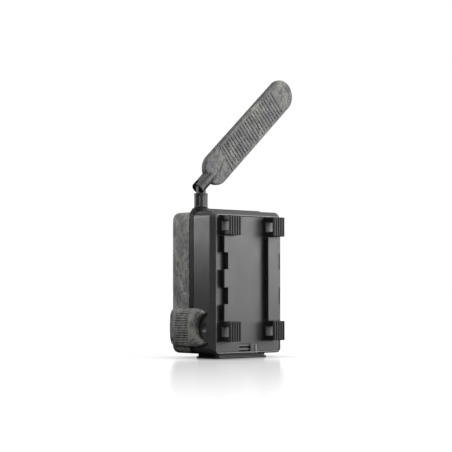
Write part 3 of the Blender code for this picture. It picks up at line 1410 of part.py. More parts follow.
def antenna_root():
    """The forked barrel between the tongue and the blade."""
    pivot = pivot_point()
    along = blade_direction()
    profile = [
        (ROOT_RADIUS - ROOT_ROUNDING, -ROOT_BACK),
        (ROOT_RADIUS, ROOT_ROUNDING - ROOT_BACK),
        (ROOT_RADIUS, ROOT_FRONT - ROOT_ROUNDING),
        (ROOT_RADIUS - ROOT_ROUNDING, ROOT_FRONT),
    ]
    root = turned("antenna_root", pivot, along, profile, "frame_black", 24)
    slot_half = TONGUE_THICKNESS / 2 + GAP
    across = blade_across() * 2 * ROOT_RADIUS
    back = pivot - along * 2 * ROOT_BACK
    ahead = pivot + along * (TONGUE_WIDTH / 2 + ROOT_SLOT_CLEARANCE)
    slot = prism(
        "slot",
        [p - Y_AXIS * slot_half for p in (back - across, back + across, ahead + across, ahead - across)],
        Y_AXIS * 2 * slot_half,
        "frame_black",
    )
    blade_room = prism(
        "blade_room",
        blade_outline(-BLADE_THICKNESS / 2 - GAP, -GAP),
        Y_AXIS * (BLADE_THICKNESS + 2 * GAP),
        "frame_black",
    )
    ends = (pivot - Y_AXIS * 2 * ROOT_RADIUS, pivot + Y_AXIS * 2 * ROOT_RADIUS)
    hole = rod("hole", *ends, ANTENNA_PIN_RADIUS + GAP, "steel")
    cut(root, slot, blade_room, hole)
    set_pivot(root, pivot)
    pin_ends = (pivot - Y_AXIS * (ROOT_RADIUS - GAP), pivot + Y_AXIS * (ROOT_RADIUS - GAP))
    set_pivot(rod("antenna_pin", *pin_ends, ANTENNA_PIN_RADIUS, "steel"), pivot)


def build():
    for obj in list(bpy.data.objects):
        bpy.data.objects.remove(obj)
    rear_shell()
    for end, low_z in (("lower", LOOP_LOWER_Z), ("upper", LOOP_UPPER_Z)):
        strap_loop(f"strap_loop_{end}_latch_side", 1, low_z)
        strap_loop(f"strap_loop_{end}_hinge_side", -1, low_z)
    strap_rail("strap_rail_latch_side", 1)
    strap_rail("strap_rail_hinge_side", -1)
    foot()
    tripod_insert()
    battery_tray()
    cells()
    contacts("contacts_lower", TRAY_BOTTOM + TRAY_WALL + GAP, (1,))
    contacts("contacts_middle", MIDDLE_CONTACT_Z, (-1, 1))
    contacts("contacts_upper", TRAY_TOP - TRAY_WALL - GAP - CONTACT_THICKNESS, (-1,))
    lock()
    mid_frame()
    seal()
    hinge_pins()
    front_cover()
    front_fascia()
    ir_parts()
    lens_parts()
    pir_parts()
    latch()
    inner_panel()
    display()
    keys()
    power_switch()
    card_parts()
    coax_lead(electronics())
    antenna_swivel()
    blade_half("antenna_blade_back", 1)
    blade_half("antenna_blade_front", -1)
    radiator()
    antenna_root()
    for obj in bpy.data.objects:
        if obj.type == "MESH":
            obj.data.shade_smooth()
            obj.data.set_sharp_from_angle(angle=SMOOTH_ANGLE)


build()
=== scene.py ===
"""The looks of the trail camera: finishes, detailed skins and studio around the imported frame."""

import json
import math

import bmesh
import bpy
from mathutils import Matrix, Vector

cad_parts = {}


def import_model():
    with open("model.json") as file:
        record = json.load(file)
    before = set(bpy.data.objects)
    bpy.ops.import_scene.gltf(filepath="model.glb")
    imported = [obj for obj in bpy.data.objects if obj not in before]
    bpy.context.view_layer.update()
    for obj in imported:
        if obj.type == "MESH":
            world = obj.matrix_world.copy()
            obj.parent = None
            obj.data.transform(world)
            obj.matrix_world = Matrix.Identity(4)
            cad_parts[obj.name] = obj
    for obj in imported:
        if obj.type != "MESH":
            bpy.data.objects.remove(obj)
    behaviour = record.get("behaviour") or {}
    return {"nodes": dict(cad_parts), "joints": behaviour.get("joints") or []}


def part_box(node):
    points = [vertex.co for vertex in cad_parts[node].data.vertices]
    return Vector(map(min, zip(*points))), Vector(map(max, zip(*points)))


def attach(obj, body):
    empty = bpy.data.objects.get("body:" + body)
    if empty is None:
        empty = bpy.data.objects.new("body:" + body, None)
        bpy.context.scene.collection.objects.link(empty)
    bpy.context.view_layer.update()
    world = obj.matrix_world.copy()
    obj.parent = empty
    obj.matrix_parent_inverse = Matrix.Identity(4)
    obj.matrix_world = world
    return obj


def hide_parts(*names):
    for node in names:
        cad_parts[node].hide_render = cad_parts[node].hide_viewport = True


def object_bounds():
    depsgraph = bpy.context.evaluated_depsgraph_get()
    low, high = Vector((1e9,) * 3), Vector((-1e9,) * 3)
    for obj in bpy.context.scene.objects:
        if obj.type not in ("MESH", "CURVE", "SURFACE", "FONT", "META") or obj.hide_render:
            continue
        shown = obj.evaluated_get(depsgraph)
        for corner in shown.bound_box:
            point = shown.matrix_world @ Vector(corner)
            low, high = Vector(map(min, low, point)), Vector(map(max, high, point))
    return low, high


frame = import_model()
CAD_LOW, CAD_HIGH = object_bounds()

MM = 0.001
X_AXIS = Vector((1, 0, 0))
Y_AXIS = Vector((0, 1, 0))
Z_AXIS = Vector((0, 0, 1))
FORWARD = -Y_AXIS

# Places read from the frame
SHELL_LOW, SHELL_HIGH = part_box("rear_shell")
FASCIA_LOW, FASCIA_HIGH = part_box("front_fascia")
BACK_Y = SHELL_HIGH.y
HALF_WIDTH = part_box("door_seal")[1].x + 1.2 * MM
BODY_BOTTOM = SHELL_LOW.z
BODY_TOP = SHELL_HIGH.z
CORNER_RADIUS = 7.5 * MM
FINISHES = {}


# Shader building


def material(name, colour, roughness, metallic=0.0, **more):
    """A Principled material in FINISHES; more holds other sockets by name, with _ for a space."""
    made = bpy.data.materials.new(name)
    made.use_nodes = True
    shader = made.node_tree.nodes["Principled BSDF"]
    shader.inputs["Base Color"].default_value = (*colour, 1.0)
    shader.inputs["Roughness"].default_value = roughness
    shader.inputs["Metallic"].default_value = metallic
    for socket, value in more.items():
        shader.inputs[socket.replace("_", " ")].default_value = value
    FINISHES[name] = made
    return made


def link(made, output, target):
    made.node_tree.links.new(output, target)


def feed(made, socket, output):
    link(made, output, made.node_tree.nodes["Principled BSDF"].inputs[socket])


def add_node(made, kind, inputs, **settings):
    """A shader node; inputs holds a value or a socket for each input, by name or number."""
    node = made.node_tree.nodes.new("ShaderNode" + kind)
    for name, value in settings.items():
        setattr(node, name, value)
    for name, value in inputs.items():
        if isinstance(value, bpy.types.NodeSocket):
            link(made, value, node.inputs[name])
        else:
            node.inputs[name].default_value = value
    return node


def place(made, size, stretch=(1, 1, 1), shift=0.0):
    """Object coordinates counted in features of this size, longer by stretch along each axis."""
    source = add_node(made, "TexCoord", {}).outputs["Object"]
    scale = [1 / (size * s) for s in stretch]
    inputs = {"Vector": source, "Scale": scale, "Location": (shift, shift, shift)}
    return add_node(made, "Mapping", inputs).outputs["Vector"]


def cloud(made, size, detail=3.0, stretch=(1, 1, 1), rough=0.55, distortion=0.0, shift=0.0):
    inputs = {"Vector": place(made, size, stretch, shift), "Scale": 1.0, "Detail": detail}
    inputs |= {"Roughness": rough, "Distortion": distortion}
    return add_node(made, "TexNoise", inputs).outputs["Fac"]


def ramp(made, value, *stops):
    """Colours by position; a plain number stands for a grey."""
    node = add_node(made, "ValToRGB", {"Fac": value})
    points = node.color_ramp.elements
    while len(points) < len(stops):
        points.new(1.0)
    for point, (position, colour) in zip(points, stops):
        point.position = position
        point.color = (*colour, 1.0) if isinstance(colour, tuple) else (colour, colour, colour, 1.0)
    return node.outputs["Color"]


def mixed(made, kind, factor, first, second):
    """Two colours mixed; each is a socket or a colour, and the factor is a socket or a number."""
    inputs = {0: factor}
    for number, value in ((6, first), (7, second)):
        inputs[number] = (*value, 1.0) if isinstance(value, tuple) else value
    return add_node(made, "Mix", inputs, data_type="RGBA", blend_type=kind).outputs[2]


def bumped(made, *layers):
    """Bump layers, each a height socket and the depth in metres that its full range stands for."""
    normal = {}
    for height, depth in layers:
        inputs = {"Strength": 1.0, "Distance": depth, "Height": height} | normal
        normal = {"Normal": add_node(made, "Bump", inputs).outputs["Normal"]}
    feed(made, "Normal", normal["Normal"])


def scaled(colour, factor):
    return tuple(c * factor for c in colour)


# Finishes


def moulded(name, colour, roughness, grain=0.35, depth=0.012, spread=0.10, **more):
    """Moulded plastic with a spark-eroded grain and a little unevenness in tone and gloss."""
    made = material(name, colour, roughness, **more)
    fine = cloud(made, grain * MM, 2.0)
    broad = cloud(made, 17 * MM, 3.0, shift=4.0)
    tones = ((0.3, scaled(colour, 1 - spread)), (0.7, scaled(colour, 1 + spread)))
    tone = mixed(made, "MIX", 0.35, ramp(made, broad, *tones), ramp(made, fine, *tones))
    feed(made, "Base Color", tone)
    feed(made, "Roughness", ramp(made, broad, (0.3, roughness - 0.05), (0.7, roughness + 0.05)))
    bumped(made, (fine, depth * MM))


def camouflage(name, bright, lines=1.0):
    """Bark film: olive and grey-violet bark with dark patches, knots and fine speckle."""
    made = material(name, (0.2, 0.2, 0.17), 0.6, Specular_IOR_Level=0.3)
    drift = cloud(made, 14 * MM, 4.0, (1, 1, 1.3), 0.6, 0.6)
    tint = cloud(made, 8 * MM, 4.0, (1, 1, 1.4), 0.6, 0.8, 7.0)
    fissure = cloud(made, 2.2 * MM, 4.0, (1, 1, 2.0), 0.62, 0.7, 3.0)
    knots = cloud(made, 6 * MM, 6.0, (1, 1, 1.5), 0.68, 0.9, 11.0)
    speckle = cloud(made, 0.8 * MM, 3.0, (1, 1, 1.2), 0.6, 0.0, 5.0)
    patch = cloud(made, 19 * MM, 5.0, (1, 1, 1.2), 0.62, 0.5, 21.0)
    dark, middle, pale = (0.125, 0.126, 0.115), (0.225, 0.227, 0.207), (0.325, 0.328, 0.298)
    stops = zip((0.34, 0.5, 0.64), (scaled(tone, bright) for tone in (dark, middle, pale)))
    tone = ramp(made, drift, *stops)
    violet, shadow, knot = (0.152, 0.153, 0.166), (0.098, 0.099, 0.110), (0.060, 0.060, 0.058)
    tone = mixed(made, "MIX", ramp(made, tint, (0.48, 0.0), (0.58, 0.85)), tone, scaled(violet, bright))
    tone = mixed(made, "MIX", ramp(made, patch, (0.50, 0.0), (0.60, 0.72)), tone, scaled(shadow, bright))
    cracks = ramp(made, fissure, (0.34, 0.62), (0.5, 0.97), (0.68, 1.12))
    tone = mixed(made, "MULTIPLY", lines, tone, cracks)
    tone = mixed(made, "MIX", ramp(made, knots, (0.54, 0.0), (0.62, 0.8)), tone, scaled(knot, bright))
    tone = mixed(made, "MULTIPLY", 1.0, tone, ramp(made, speckle, (0.3, 0.70), (0.7, 1.25)))
    feed(made, "Base Color", tone)
    feed(made, "Roughness", ramp(made, drift, (0.3, 0.50), (0.7, 0.66)))
    bumped(made, (speckle, 0.012 * MM), (fissure, 0.02 * MM))


def brushed(name, colour, roughness, stretch):
    """Metal with fine lines along the axis that stretch is largest on."""
    made = material(name, colour, roughness, 1.0)
    lines = cloud(made, 0.12 * MM, 3.0, stretch)
    feed(made, "Roughness", ramp(made, lines, (0.3, roughness - 0.08), (0.7, roughness + 0.12)))
    patches = cloud(made, 4 * MM, 3.0)
    feed(made, "Base Color", ramp(made, patches, (0.3, scaled(colour, 0.86)), (0.7, colour)))
    bumped(made, (lines, 0.004 * MM))


def circuit_board(name):
    """Solder mask over traces and a scatter of pale pads."""
    made = material(name, (0.02, 0.12, 0.05), 0.35, Coat_Weight=0.4, Coat_Roughness=0.2)
    inputs = {"Vector": place(made, 2.4 * MM), "Scale": 1.0, "Mortar Size": 0.09}
    inputs |= {"Color1": (0.012, 0.085, 0.035, 1), "Color2": (0.018, 0.125, 0.050, 1)}
    traces = add_node(made, "TexBrick", inputs | {"Mortar": (0.035, 0.20, 0.085, 1)}).outputs["Color"]
    pads = add_node(made, "TexVoronoi", {"Scale": 1.0, "Vector": place(made, 3.1 * MM)})
    spots = ramp(made, pads.outputs["Distance"], (0.12, 1.0), (0.16, 0.0))
    feed(made, "Base Color", mixed(made, "MIX", spots, traces, (0.55, 0.50, 0.36)))
    bumped(made, (spots, 0.05 * MM))


def cell_sleeve(name):
    """A glossy dark film sleeve."""
    made = material(name, (0.05, 0.05, 0.055), 0.3, 0.55, Coat_Weight=0.5, Coat_Roughness=0.12)
    speck = cloud(made, 0.5 * MM, 2.0)
    tones = ((0.3, (0.035, 0.036, 0.042)), (0.7, (0.075, 0.076, 0.085)))
    feed(made, "Base Color", ramp(made, speck, *tones))
    feed(made, "Roughness", ramp(made, cloud(made, 9 * MM, 3.0), (0.3, 0.22), (0.7, 0.38)))
    bumped(made, (speck, 0.004 * MM))


def clear(name, colour, roughness, ior, **more):
    material(name, colour, roughness, Transmission_Weight=1.0, IOR=ior, **more)


moulded("housing_dark", (0.044, 0.044, 0.045), 0.36, 0.3, 0.006)
# pale grey for the bead round the back: a painted highlight along the back's rounded edge
moulded("bead_painted_highlight", (0.26, 0.26, 0.26), 0.34)
# near black, for the lock's bed and as painted shade in the groove round the back
moulded("track_black_and_groove_shade", (0.006, 0.006, 0.006), 0.5, Specular_IOR_Level=0.15)
moulded("bead_dark", (0.20, 0.20, 0.202), 0.34)
moulded("bracket_dark", (0.026, 0.026, 0.027), 0.40, Specular_IOR_Level=0.30)
camouflage("housing_camo", 1.5)
camouflage("blade_camo", 1.12, 0.6)
moulded("frame_black", (0.020, 0.020, 0.021), 0.40)
moulded("seam_black", (0.014, 0.014, 0.015), 0.5, Specular_IOR_Level=0.2)
moulded("collar_black", (0.026, 0.026, 0.027), 0.44, 0.25)
moulded("gloss_black", (0.009, 0.009, 0.010), 0.12, 1.2, 0.002)
moulded("rubber", (0.02, 0.02, 0.02), 0.75, 0.3, 0.02)
moulded("key_rubber", (0.055, 0.055, 0.06), 0.62, 0.25, 0.015)
brushed("steel", (0.58, 0.58, 0.59), 0.30, (1, 1, 14))
brushed("brass", (0.70, 0.52, 0.24), 0.28, (8, 8, 1))
circuit_board("circuit")
cell_sleeve("cell")
brushed("cell_band", (0.72, 0.42, 0.20), 0.28, (1, 1, 14))
moulded("card", (0.028, 0.038, 0.085), 0.4)
milky = {"Subsurface_Weight": 0.25, "Subsurface_Scale": 0.002}
moulded("lens_white", (0.66, 0.66, 0.63), 0.35, 0.6, 0.004, 0.04, **milky)
clear("emitter", (0.80, 0.82, 0.90), 0.08, 1.5)
moulded("screen", (0.012, 0.014, 0.018), 0.06, 1.2, 0.0005, 0.1, Coat_Weight=0.6)
clear("ir_filter", (0.42, 0.24, 0.27), 0.05, 1.45)
coating = {"Coat_Weight": 1.0, "Coat_Roughness": 0.02, "Coat_Tint": (0.55, 0.35, 0.9, 1)}
clear("lens_glass", (0.62, 0.70, 0.86), 0.02, 1.52, **coating)


# Meshes


def to_object(name, bm, finish, body, replaced=(), angle=35):
    """A piece from a bmesh: smooth shaded, riding on its body, standing for its CAD nodes."""
    bmesh.ops.remove_doubles(bm, verts=bm.verts, dist=0.001 * MM)
    bmesh.ops.recalc_face_normals(bm, faces=bm.faces)
    mesh = bpy.data.meshes.new(name)
    bm.to_mesh(mesh)
    bm.free()
    mesh.materials.append(FINISHES[finish])
    mesh.shade_smooth()
    mesh.set_sharp_from_angle(angle=math.radians(angle))
    piece = bpy.data.objects.new(name, mesh)
    bpy.context.scene.collection.objects.link(piece)
    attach(piece, body)
    if replaced:
        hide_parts(*replaced)
    return piece


def surface(bm, rows, wrap=False):
    """Quads between rows of points; wrap joins each row's end to its start."""
    made = [[bm.verts.new(point) for point in row] for row in rows]
    count = len(rows[0])
    for low, high in zip(made, made[1:]):
        for i in range(count if wrap else count - 1):
            j = (i + 1) % count
            bm.faces.new((low[i], low[j], high[j], high[i]))
    return made


def skirt(bm, edge, low):
    """Joins a closed edge to the matching points below it, and closes them with one face."""
    for i, vert in enumerate(edge):
        j = (i + 1) % len(edge)
        bm.faces.new((vert, edge[j], low[j], low[i]))
    bm.faces.new(low)


def turns(steps):
    return [2 * math.pi * i / steps for i in range(steps)]


def lathe(bm, centre, axis, profile, steps=48, reach=None):
    """Profile points (radius, height) turned about an axis; reach can reshape the radius."""
    axis = Vector(axis).normalized()
    across = axis.orthogonal().normalized() if abs(axis.z) < 0.9 else X_AXIS
    beside = axis.cross(across)
    rows = []
    for radius, height in profile:
        row = []
        for turn in turns(steps):
            out = reach(radius, turn, height) if reach else radius
            outwards = across * math.cos(turn) + beside * math.sin(turn)
            row.append(Vector(centre) + axis * height + outwards * out)
        rows.append(row)
    return surface(bm, rows, wrap=True)


def quarter(radius, height, across, up, steps):
    """Profile points on a quarter turn, from just past its outermost point to its end."""
    angles = [math.pi / 2 * i / steps for i in range(1, steps + 1)]
    return [(radius + across * math.cos(a), height + up * math.sin(a)) for a in angles]


def bevelled(piece, width, segments=3, angle=32):
    """Rounds the edges of a CAD node or a piece with modifiers that leave its own mesh alone."""
    weld = piece.modifiers.new("weld", "WELD")
    weld.merge_threshold = 0.002 * MM
    bevel = piece.modifiers.new("bevel", "BEVEL")
    bevel.width = width
    bevel.segments = segments
    bevel.limit_method = "ANGLE"
    bevel.angle_limit = math.radians(angle)
    bevel.harden_normals = False
    bevel.use_clamp_overlap = True
    piece.modifiers.new("normals", "WEIGHTED_NORMAL").keep_sharp = False


def rounded_ring(half_width, bottom, top, radius, y, centre_x=0.0, steps=10):
    """A rounded rectangle in a plane of constant y."""
    points = []
    for x, z, turn in ((1, 1, 0), (-1, 1, 90), (-1, -1, 180), (1, -1, 270)):
        edge = top if z > 0 else bottom
        corner = Vector((centre_x + x * (half_width - radius), y, edge - z * radius))
        for i in range(steps + 1):
            angle = math.radians(turn + 90 * i / steps)
            points.append(corner + Vector((math.cos(angle), 0, math.sin(angle))) * radius)
    return points


def closed_surface(bm, rings):
    """Rings joined in order, with the last joined to the first."""
    surface(bm, list(rings) + [rings[0]], wrap=True)


def capped_surface(bm, rings):
    """Rings joined in order, with a face over the first and the last."""
    made = surface(bm, rings, wrap=True)
    bm.faces.new(made[0])
    bm.faces.new(list(reversed(made[-1])))


def prism(bm, outline, along):
    """A solid swept from a closed outline."""
    capped_surface(bm, [outline, [p + along for p in outline]])


def box(bm, low, high):
    x0, y0, z0 = low
    x1, y1, z1 = high
    corners = [Vector(p) for p in ((x0, y0, z0), (x1, y0, z0), (x1, y1, z0), (x0, y1, z0))]
    prism(bm, corners, Vector((0, 0, z1 - z0)))


def tube_ring(bm, outline, radius):
    """A round bead along a closed outline in a plane of constant y."""
    rows = []
    count = len(outline)
    for i, point in enumerate(outline):
        along = (outline[(i + 1) % count] - outline[i - 1]).normalized()
        side = along.cross(Y_AXIS)
        rows.append([point + (side * math.cos(a) + Y_AXIS * math.sin(a)) * radius for a in turns(8)])
    closed_surface(bm, rows)


def cut_by(piece, *tools):
    """Takes tool meshes out of a piece, and bakes the result into its own mesh."""
    helpers = []
    for tool in tools:
        bmesh.ops.remove_doubles(tool, verts=tool.verts, dist=0.001 * MM)
        bmesh.ops.recalc_face_normals(tool, faces=tool.faces)
        mesh = bpy.data.meshes.new("tool")
        tool.to_mesh(mesh)
        tool.free()
        helper = bpy.data.objects.new("tool", mesh)
        bpy.context.scene.collection.objects.link(helper)
        helpers.append(helper)
        change = piece.modifiers.new("cut", "BOOLEAN")
        change.operation = "DIFFERENCE"
        change.solver = "EXACT"
        change.object = helper
    bpy.context.view_layer.update()
    depsgraph = bpy.context.evaluated_depsgraph_get()
    baked = bpy.data.meshes.new_from_object(piece.evaluated_get(depsgraph))
    piece.modifiers.clear()
    piece.data = baked
    for helper in helpers:
        bpy.data.objects.remove(helper)


def smoothstep(low, high, value):
    t = min(max((value - low) / (high - low), 0.0), 1.0)
    return t * t * (3 - 2 * t)


# Antenna

FOLD = next(joint for joint in frame["joints"] if joint["name"] == "antenna_fold")
PIVOT = Vector(FOLD["pos_m"])
TILT = math.radians(-FOLD["range_deg"][0])
ALONG = Vector((-math.sin(TILT), 0, math.cos(TILT)))
ACROSS = Vector((math.cos(TILT), 0, math.sin(TILT)))

BLADE_START = 9.0 * MM
BLADE_LENGTH = 149 * MM
BLADE_RADIUS = 15.8 * MM
BLADE_TRIM = 0.12 * MM
BLADE_HALF_THICKNESS = 3.0 * MM
BLADE_ROUNDING = 1.7 * MM
BLADE_SPLIT = 0.15 * MM
BLADE_INSETS = [inset * MM for inset in (0, 0.12, 0.4, 0.8, 1.2, 1.7, 2.4)]
BLADE_COLUMNS = 40
BLADE_STEPS = 620
BLADE_END_STEPS = 30
GROOVE_COUNT = 23
GROOVE_FIRST = 43.5 * MM
GROOVE_PITCH = 3.97 * MM
GROOVE_LAST = GROOVE_FIRST + (GROOVE_COUNT - 1) * GROOVE_PITCH
GROOVE_REACH = 11.6 * MM
GROOVE_DEPTH = 0.60 * MM
PANEL_RECESS = 0.28 * MM
CREASE_PLACE = 40.0 * MM
BORDER_START = 14.1 * MM
BORDER_LENGTH = 22.1 * MM
BOSS_END = 37.5 * MM


def blade_height(s, c, inset):
    """The height of a blade half's face over its split plane, at s along and c across."""
    height = BLADE_HALF_THICKNESS
    if inset < BLADE_ROUNDING:
        height -= BLADE_ROUNDING * (1 - math.sqrt(1 - (1 - inset / BLADE_ROUNDING) ** 2))
    inside = smoothstep(GROOVE_REACH + 1.2 * MM, GROOVE_REACH - 0.2 * MM, abs(c))
    panel = smoothstep(GROOVE_FIRST - 2.6 * MM, GROOVE_FIRST - 1.0 * MM, s)
    panel *= smoothstep(GROOVE_LAST + 2.6 * MM, GROOVE_LAST + 1.0 * MM, s)
    height -= PANEL_RECESS * inside * panel
    phase = (s - GROOVE_FIRST) / GROOVE_PITCH
    if -0.5 < phase < GROOVE_COUNT - 0.5:
        height -= GROOVE_DEPTH * inside * smoothstep(0.27, 0.07, abs(phase - round(phase)))
    crease = smoothstep(0.55 * MM, 0.1 * MM, abs(s - (CREASE_PLACE + 0.1 * c)))
    height -= 0.55 * MM * crease * smoothstep(0.5 * MM, 1.6 * MM, inset)
    rim = min(1.0, inset / (2 * MM))
    border = (s - BORDER_START) / BORDER_LENGTH
    if -0.15 < border < 1.1:
        line = (-3.7 + 4.6 * border - 1.8 * math.sin(math.pi * min(max(border, 0.0), 1.0))) * MM
        height -= 0.85 * MM * smoothstep(1.0 * MM, 0.2 * MM, abs(c - line)) * smoothstep(1.1, 1.0, border)
        height += 0.35 * MM * smoothstep(line, line + 1.5 * MM, c) * smoothstep(1.1, 0.9, border) * rim
    if s < BOSS_END:
        share = (BOSS_END - s) / (BOSS_END - BLADE_START)
        off = abs(c - 1.5 * MM) / (8.2 * MM * math.sqrt(share))
        height += 0.60 * MM * share**0.7 * smoothstep(1.0, 0.72, off) * rim
    return height


def blade_half(name, side, node):
    """Half of the paddle, from its rounded rim to the face with its grooves."""
    near = BLADE_START + BLADE_RADIUS
    far = BLADE_START + BLADE_LENGTH - BLADE_RADIUS
    angles = [math.pi / 2 * i / BLADE_END_STEPS for i in range(BLADE_END_STEPS)]
    places = [(near, -math.cos(a), math.sin(a)) for a in angles]
    places += [(near + (far - near) * i / BLADE_STEPS, 0.0, 1.0) for i in range(BLADE_STEPS + 1)]
    places += [(far, math.cos(a), math.sin(a)) for a in reversed(angles)]
    rows = []
    for centre, lengthwise, sideways in places:
        rim = []
        for inset in BLADE_INSETS:
            reach = BLADE_RADIUS - BLADE_TRIM - inset
            rim.append((centre + lengthwise * reach, sideways * reach, inset))
        s, c, inset = rim[-1]
        inner = [(s, c * (2 * i / BLADE_COLUMNS - 1), inset) for i in range(1, BLADE_COLUMNS)]
        row = [(s, -c, inset) for s, c, inset in rim] + inner + rim[::-1]
        heights = [Y_AXIS * side * blade_height(*place) for place in row]
        rows.append([PIVOT + ALONG * s + ACROSS * c + up for (s, c, _), up in zip(row, heights)])
    bm = bmesh.new()
    top = surface(bm, rows)
    edge = [row[0] for row in top] + [row[-1] for row in reversed(top)]
    low = [bm.verts.new((v.co.x, PIVOT.y + side * BLADE_SPLIT, v.co.z)) for v in edge]
    skirt(bm, edge, low)
    to_object(name, bm, "blade_camo", "antenna_arm", (node,), 50)


ROOT_RADIUS = 6.2 * MM
ROOT_BACK = 6.3 * MM
ROOT_FRONT = 15.0 * MM
TONGUE_HALF = 4.8 * MM
TONGUE_THICKNESS = 3.6 * MM


def antenna_root():
    """A smooth barrel, hollow at its lower end, with a slot under it for the collar's tongue."""
    mouth = 0.9 * MM
    nose = 1.5 * MM
    floor_height = 1.0 * MM - ROOT_BACK
    profile = [(0.0, floor_height), (4.6 * MM, floor_height), (4.9 * MM, 0.25 * MM - ROOT_BACK)]
    profile += reversed(quarter(ROOT_RADIUS - mouth, mouth - ROOT_BACK, mouth, -mouth, 6))
    length = ROOT_FRONT + ROOT_BACK - mouth - nose
    profile += [(ROOT_RADIUS, mouth - ROOT_BACK + length * i / 23) for i in range(24)]
    profile += quarter(ROOT_RADIUS - nose, ROOT_FRONT - nose, nose, nose, 8) + [(0.0, ROOT_FRONT)]
    bm = bmesh.new()
    lathe(bm, PIVOT, ALONG, profile, 72)
    nodes = ("antenna_root",)
    piece = to_object("antenna_root_barrel", bm, "collar_black", "antenna_arm", nodes, 40)
    slot_half = TONGUE_THICKNESS / 2 + 0.3 * MM
    ahead = TONGUE_HALF + 0.4 * MM
    low = -10 * MM
    tools = []
    for c_low, c_high, s_high in ((-8 * MM, 5.3 * MM, ahead), (0.0, 8 * MM, -1.0 * MM)):
        corners = ((low, c_low), (low, c_high), (s_high, c_high), (s_high, c_low))
        tool = bmesh.new()
        outline = [PIVOT + ALONG * s + ACROSS * c - Y_AXIS * slot_half for s, c in corners]
        prism(tool, outline, Y_AXIS * 2 * slot_half)
        tools.append(tool)
    pin = bmesh.new()
    bore = 1.7 * MM
    pin_length = 16 * MM
    outline = [(0.0, 0.0), (bore, 0.0), (bore, pin_length), (0.0, pin_length)]
    lathe(pin, PIVOT - Y_AXIS * pin_length / 2, Y_AXIS, outline, 32)
    cut_by(piece, *tools, pin)
    bevelled(piece, 0.25 * MM, 2, 40)


COLLAR_HEIGHT = 14.2 * MM
COLLAR_RADIUS = 6.6 * MM


def collar_reach(radius, turn, rise):
    """The collar's six grooves: the two that face the sides are deep, and the others shallow."""
    if radius <= COLLAR_RADIUS - 0.05 * MM:
        return radius
    main = math.radians(24)
    off = (turn - main + math.pi / 6) % (math.pi / 3) - math.pi / 6
    depth = smoothstep(math.radians(21), math.radians(9), abs(off))
    depth *= smoothstep(0.9 * MM, 2.0 * MM, rise)
    depth *= smoothstep(COLLAR_HEIGHT - 1.4 * MM, COLLAR_HEIGHT - 2.4 * MM, rise)
    return radius - 0.9 * MM * depth * (1.0 if abs(math.cos(turn - main)) > 0.86 else 0.35)


def antenna_collar():
    """A knurled collar, and the tongue that stands on it."""
    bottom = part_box("antenna_swivel")[0].z
    top = COLLAR_HEIGHT
    profile = [(3.4 * MM, 0.0), (6.0 * MM, 0.0), (6.45 * MM, 0.15 * MM), (COLLAR_RADIUS, 0.5 * MM)]
    profile += [(COLLAR_RADIUS, top * (0.06 + 0.86 * i / 40)) for i in range(41)]
    profile += [(6.5 * MM, top - 0.55 * MM), (6.2 * MM, top - 0.2 * MM), (5.8 * MM, top)]
    profile += [(5.3 * MM, top), (5.1 * MM, top - 0.5 * MM), (0.0, top - 0.5 * MM)]
    bm = bmesh.new()
    lathe(bm, (PIVOT.x, PIVOT.y, bottom), Z_AXIS, profile, 144, collar_reach)
    side = -Y_AXIS * TONGUE_THICKNESS / 2
    angles = [math.pi * i / 24 for i in range(25)]
    outline = [PIVOT + Vector((math.cos(a), 0, math.sin(a))) * TONGUE_HALF + side for a in angles]
    foot_z = bottom + top - 1.5 * MM
    outline += [Vector((PIVOT.x + sign * TONGUE_HALF, PIVOT.y, foot_z)) + side for sign in (-1, 1)]
    prism(bm, outline, Y_AXIS * TONGUE_THICKNESS)
    nodes = ("antenna_swivel",)
    piece = to_object("antenna_collar", bm, "collar_black", "antenna_base", nodes)
    bevelled(piece, 0.3 * MM, 2, 50)


blade_half("blade_skin_back", 1, "antenna_blade_back")
blade_half("blade_skin_front", -1, "antenna_blade_front")
antenna_root()
antenna_collar()


# Latch lever

LATCH_LOW, LATCH_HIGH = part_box("latch_lever")
LATCH_MIDDLE = (LATCH_LOW.z + LATCH_HIGH.z) / 2
LATCH_STEPS = 84
NOTCH_RADIUS = 13.2 * MM
NOTCH_Y = BACK_Y - 6 * MM
LATCH_RIBS = 13
LATCH_RIB_PITCH = 2.3 * MM
LATCH_EDGE = 1.4 * MM


def latch_half_height(y):
    """Half the lever's height: full over most of it, narrower toward the tips beside the notch."""
    back = max(0.0, (y - 3 * MM) / (LATCH_HIGH.y - 3 * MM))
    ahead = max(0.0, (LATCH_LOW.y + 6 * MM - y) / (6 * MM))
    rounding = 3.2 * MM * (1 - math.sqrt(max(0.0, 1 - ahead**2)))
    return (LATCH_HIGH.z - LATCH_MIDDLE) - 3.6 * MM * back**1.6 - rounding


def latch_tail(t):
    """Where the lever ends, on the notch's circle; a few rounds, because the height depends on it."""
    y = 10 * MM
    for _ in range(12):
        z = t * latch_half_height(y)
        y = NOTCH_Y - math.sqrt(max(NOTCH_RADIUS**2 - z * z, (2.4 * MM) ** 2))
    return min(y, LATCH_HIGH.y)


def latch_surface(y, t, to_tail):
    """How far the lever's face stands out, from its place along, across and from the notch."""
    full = LATCH_HIGH.x - LATCH_LOW.x
    z = t * latch_half_height(y)
    crown = math.sqrt(max(0.0, 1 - abs(t) ** 2.6))
    slope = 0.42 + 0.58 * min(max(to_tail / (7.0 * MM), 0.0), 1.0) ** 0.8
    nose = smoothstep(0.0, 5 * MM, y - LATCH_LOW.y) * 0.12 + 0.88
    out = LATCH_EDGE + (full - LATCH_EDGE - 0.8 * MM) * crown * slope * nose
    phase = z / LATCH_RIB_PITCH
    if abs(phase) < LATCH_RIBS / 2:
        wave = math.cos(2 * math.pi * phase)
        bar = max(0.0, wave) ** 0.7 - 0.5 * max(0.0, -wave)
        reach = smoothstep(LATCH_LOW.y + 7.5 * MM, LATCH_LOW.y + 9.5 * MM, y)
        out += 0.80 * MM * bar * reach * smoothstep(-5.0 * MM, -7.0 * MM, y)
    return min(out, full)


